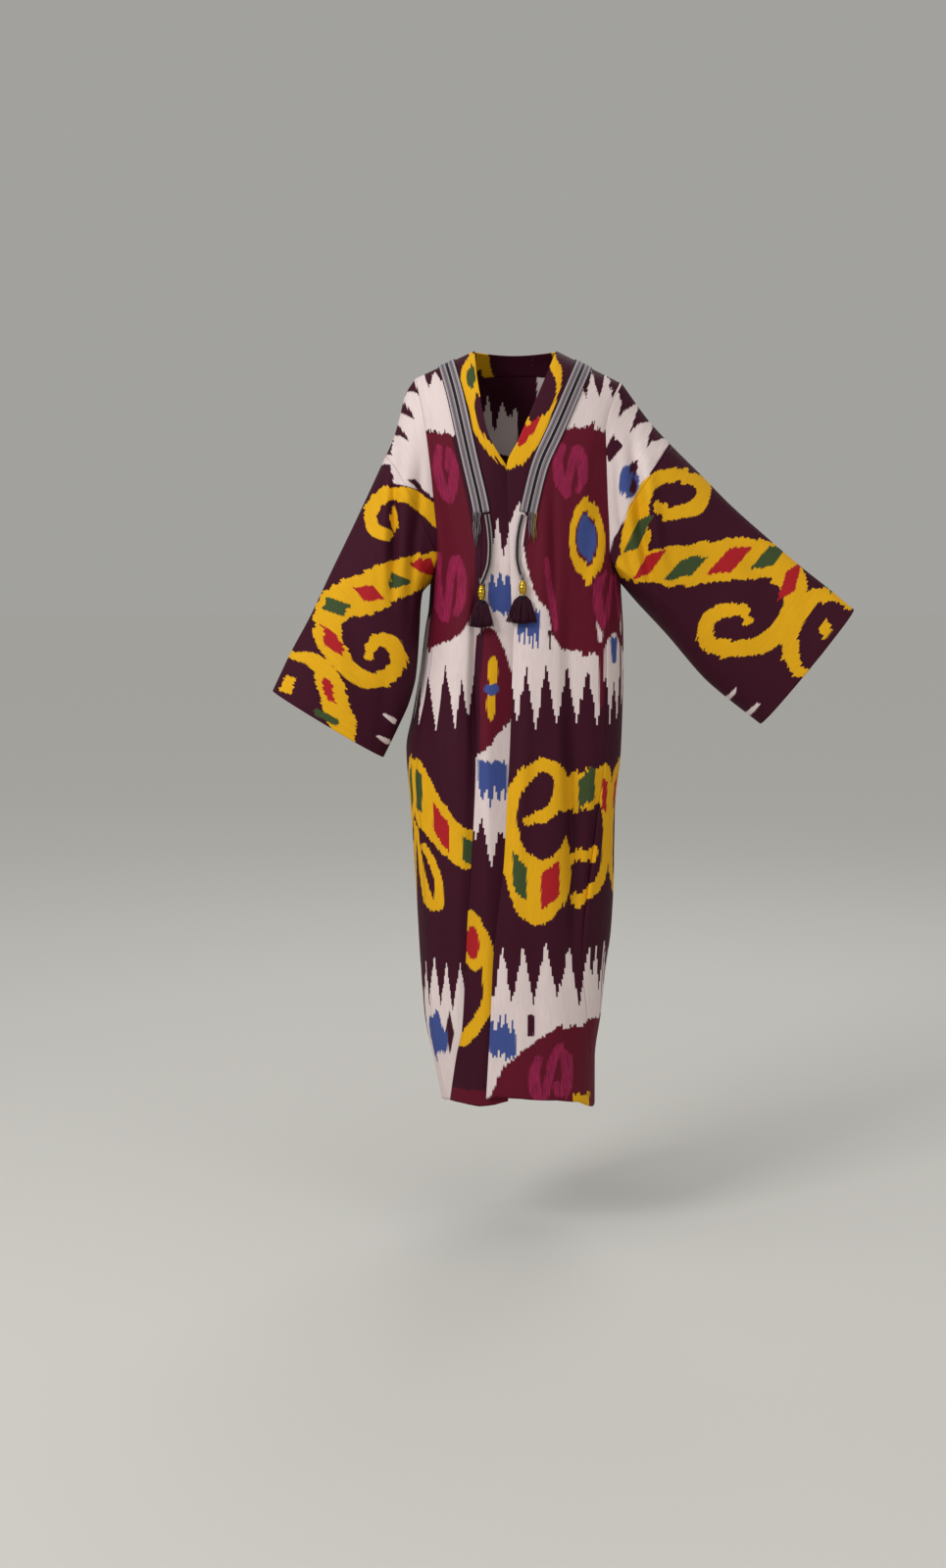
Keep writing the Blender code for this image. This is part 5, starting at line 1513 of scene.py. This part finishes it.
tassels, beads, tieObjects = {}, {}, {}
for side, trimSet in trims.items():
    p = np.array(ties[side])
    steps = np.arange(len(p))
    line = []
    for t in np.linspace(0, len(p) - 1, 40):
        x, z, off = (along(np.stack([steps, p[:, c]], 1), t) for c in range(3))
        line.append((x, front(x, z, trimSet["side"]) - off - tieSize["off"], z))
    tie = tubesMesh("tie" + side, [line], [tieSize["across"]], tieMaterial, ring=16, flat=tieSize["through"])
    tieObjects[side] = (tie, line)
    x, z = trimSet["x"], trimSet["z"]
    top = np.array((x, front(x, z, trimSet["side"]) - beadOff, z))
    beads[side] = newObject("bead" + side, beadMesh("bead" + side), goldMaterial)
    beads[side].location = top
    pick = np.random.default_rng(trimSet["seed"])
    neck = top - (0, 0, tasselWork["below"])
    lines = tasselLines(neck, pick, *(trimSet[k] for k in ("long", "wide", "lean", "swing")))
    tassels[side] = tubesMesh("tassel" + side, lines, [tasselWork["radius"]] * len(lines), tasselYarn, ring=4)
    wraps = [[neck + (tasselWork["wrapX"] * math.cos(t), tasselWork["wrapY"] * math.sin(t), -drop)
              for t in np.linspace(0, 2 * math.pi, 25)] for drop in tasselWork["wrapDrops"]]
    tassels[side + "Wrap"] = tubesMesh("tasselWrap" + side, wraps, [tasselWork["wrapRadius"]] * len(wraps),
                                       darkYarn, ring=6)
    tufts = []
    for n in range(tuftWork["count"]):
        lean = pick.uniform(-0.0035, 0.0035)
        tufts.append([top + (lean * 0.4 + tuftWork["apart"] * (n - 2), 0, -0.001),
                      top + (lean * 0.8, -0.0006, 0.005),
                      top + (lean * 1.4, -0.0002, pick.uniform(0.009, 0.015))])
    tassels[side + "Tuft"] = tubesMesh("cordEnds" + side, tufts, [tuftWork["taper"]] * len(tufts), paleYarn)
print("trims made")

# each cloth shell and trim takes the place of its part from model.glb, hung on the root body
for name, o in shells.items():
    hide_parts(nodeOf[name])
    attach(o, "root")
for side in ("Left", "Right"):
    low = side.lower()
    tie, line = tieObjects[side]
    parts = [o for name, o in loose.items() if name.startswith("looseEnds" + side)]
    hung = [beads[side], tassels[side], tassels[side + "Wrap"], tassels[side + "Tuft"]]
    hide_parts("tie_" + low)
    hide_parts("bead_" + low)
    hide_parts("tassel_" + low)
    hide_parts("braid_end_" + low)
    for o, slot in [(tie, "tie_"), (hung[0], "bead_")] + [(o, "tassel_") for o in hung[1:]] \
            + [(o, "braid_end_") for o in parts]:
        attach(o, "root")
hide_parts("neck_braid")
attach(braid, "root")

# camera, floor and light
stage = {"floorZ": -1.509, "floorHalf": 30, "floorTint": "c9c7c2", "skyTint": "c9c8c4", "skyPower": 0.62,
         "aim": (0, 0, -0.6)}
view = {"place": (-0.0711, -3.86, -0.2927), "down": 6.35, "lens": 51.75}
lamps = {"key": dict(at=(-2.4, -2.6, 1.6), size=1.3, power=78),
         "fill": dict(at=(2.6, -2.6, 0.4), size=2.2, power=14),
         "rim": dict(at=(0.6, 2.6, 1.9), size=1.8, power=26)}


def show(name, data, place, turned):
    o = bpy.data.objects.new(name, data)
    o.location, o.rotation_euler = place, turned
    bpy.context.scene.collection.objects.link(o)
    return o


camera = show("camera", bpy.data.cameras.new("camera"), view["place"],
              (math.radians(90 - view["down"]), 0, 0))
camera.data.lens = view["lens"]
bpy.context.scene.camera = camera
bpy.context.scene.view_settings.view_transform = "Standard"

floorMaterial, tree, shader = material("pale floor", 0.9)
shader.inputs["Base Color"].default_value = linear(stage["floorTint"])
floorMesh = bpy.data.meshes.new("floor")
floorMesh.from_pydata([(x * stage["floorHalf"], y * stage["floorHalf"], stage["floorZ"])
                       for x, y in ((-1, -1), (1, -1), (1, 1), (-1, 1))], [], [(0, 1, 2, 3)])
floor = newObject("floor", floorMesh, floorMaterial)
floor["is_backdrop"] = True
world = bpy.data.worlds.new("studio")
bpy.context.scene.world = world
world.use_nodes = True
background = world.node_tree.nodes["Background"].inputs
background[0].default_value, background[1].default_value = linear(stage["skyTint"]), stage["skyPower"]
sky = bpy.data.lights.new("overhead", "SUN")
sky.energy, sky.angle = 0.9, math.radians(70)
show("overhead", sky, (0, 0, 0), (math.radians(28), math.radians(-12), 0))
for name, lamp in lamps.items():
    data = bpy.data.lights.new(name, "AREA")
    data.energy, data.size = lamp["power"], lamp["size"]
    aim = Vector(stage["aim"]) - Vector(lamp["at"])
    show(name, data, lamp["at"], aim.to_track_quat("-Z", "Y").to_euler())

low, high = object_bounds()
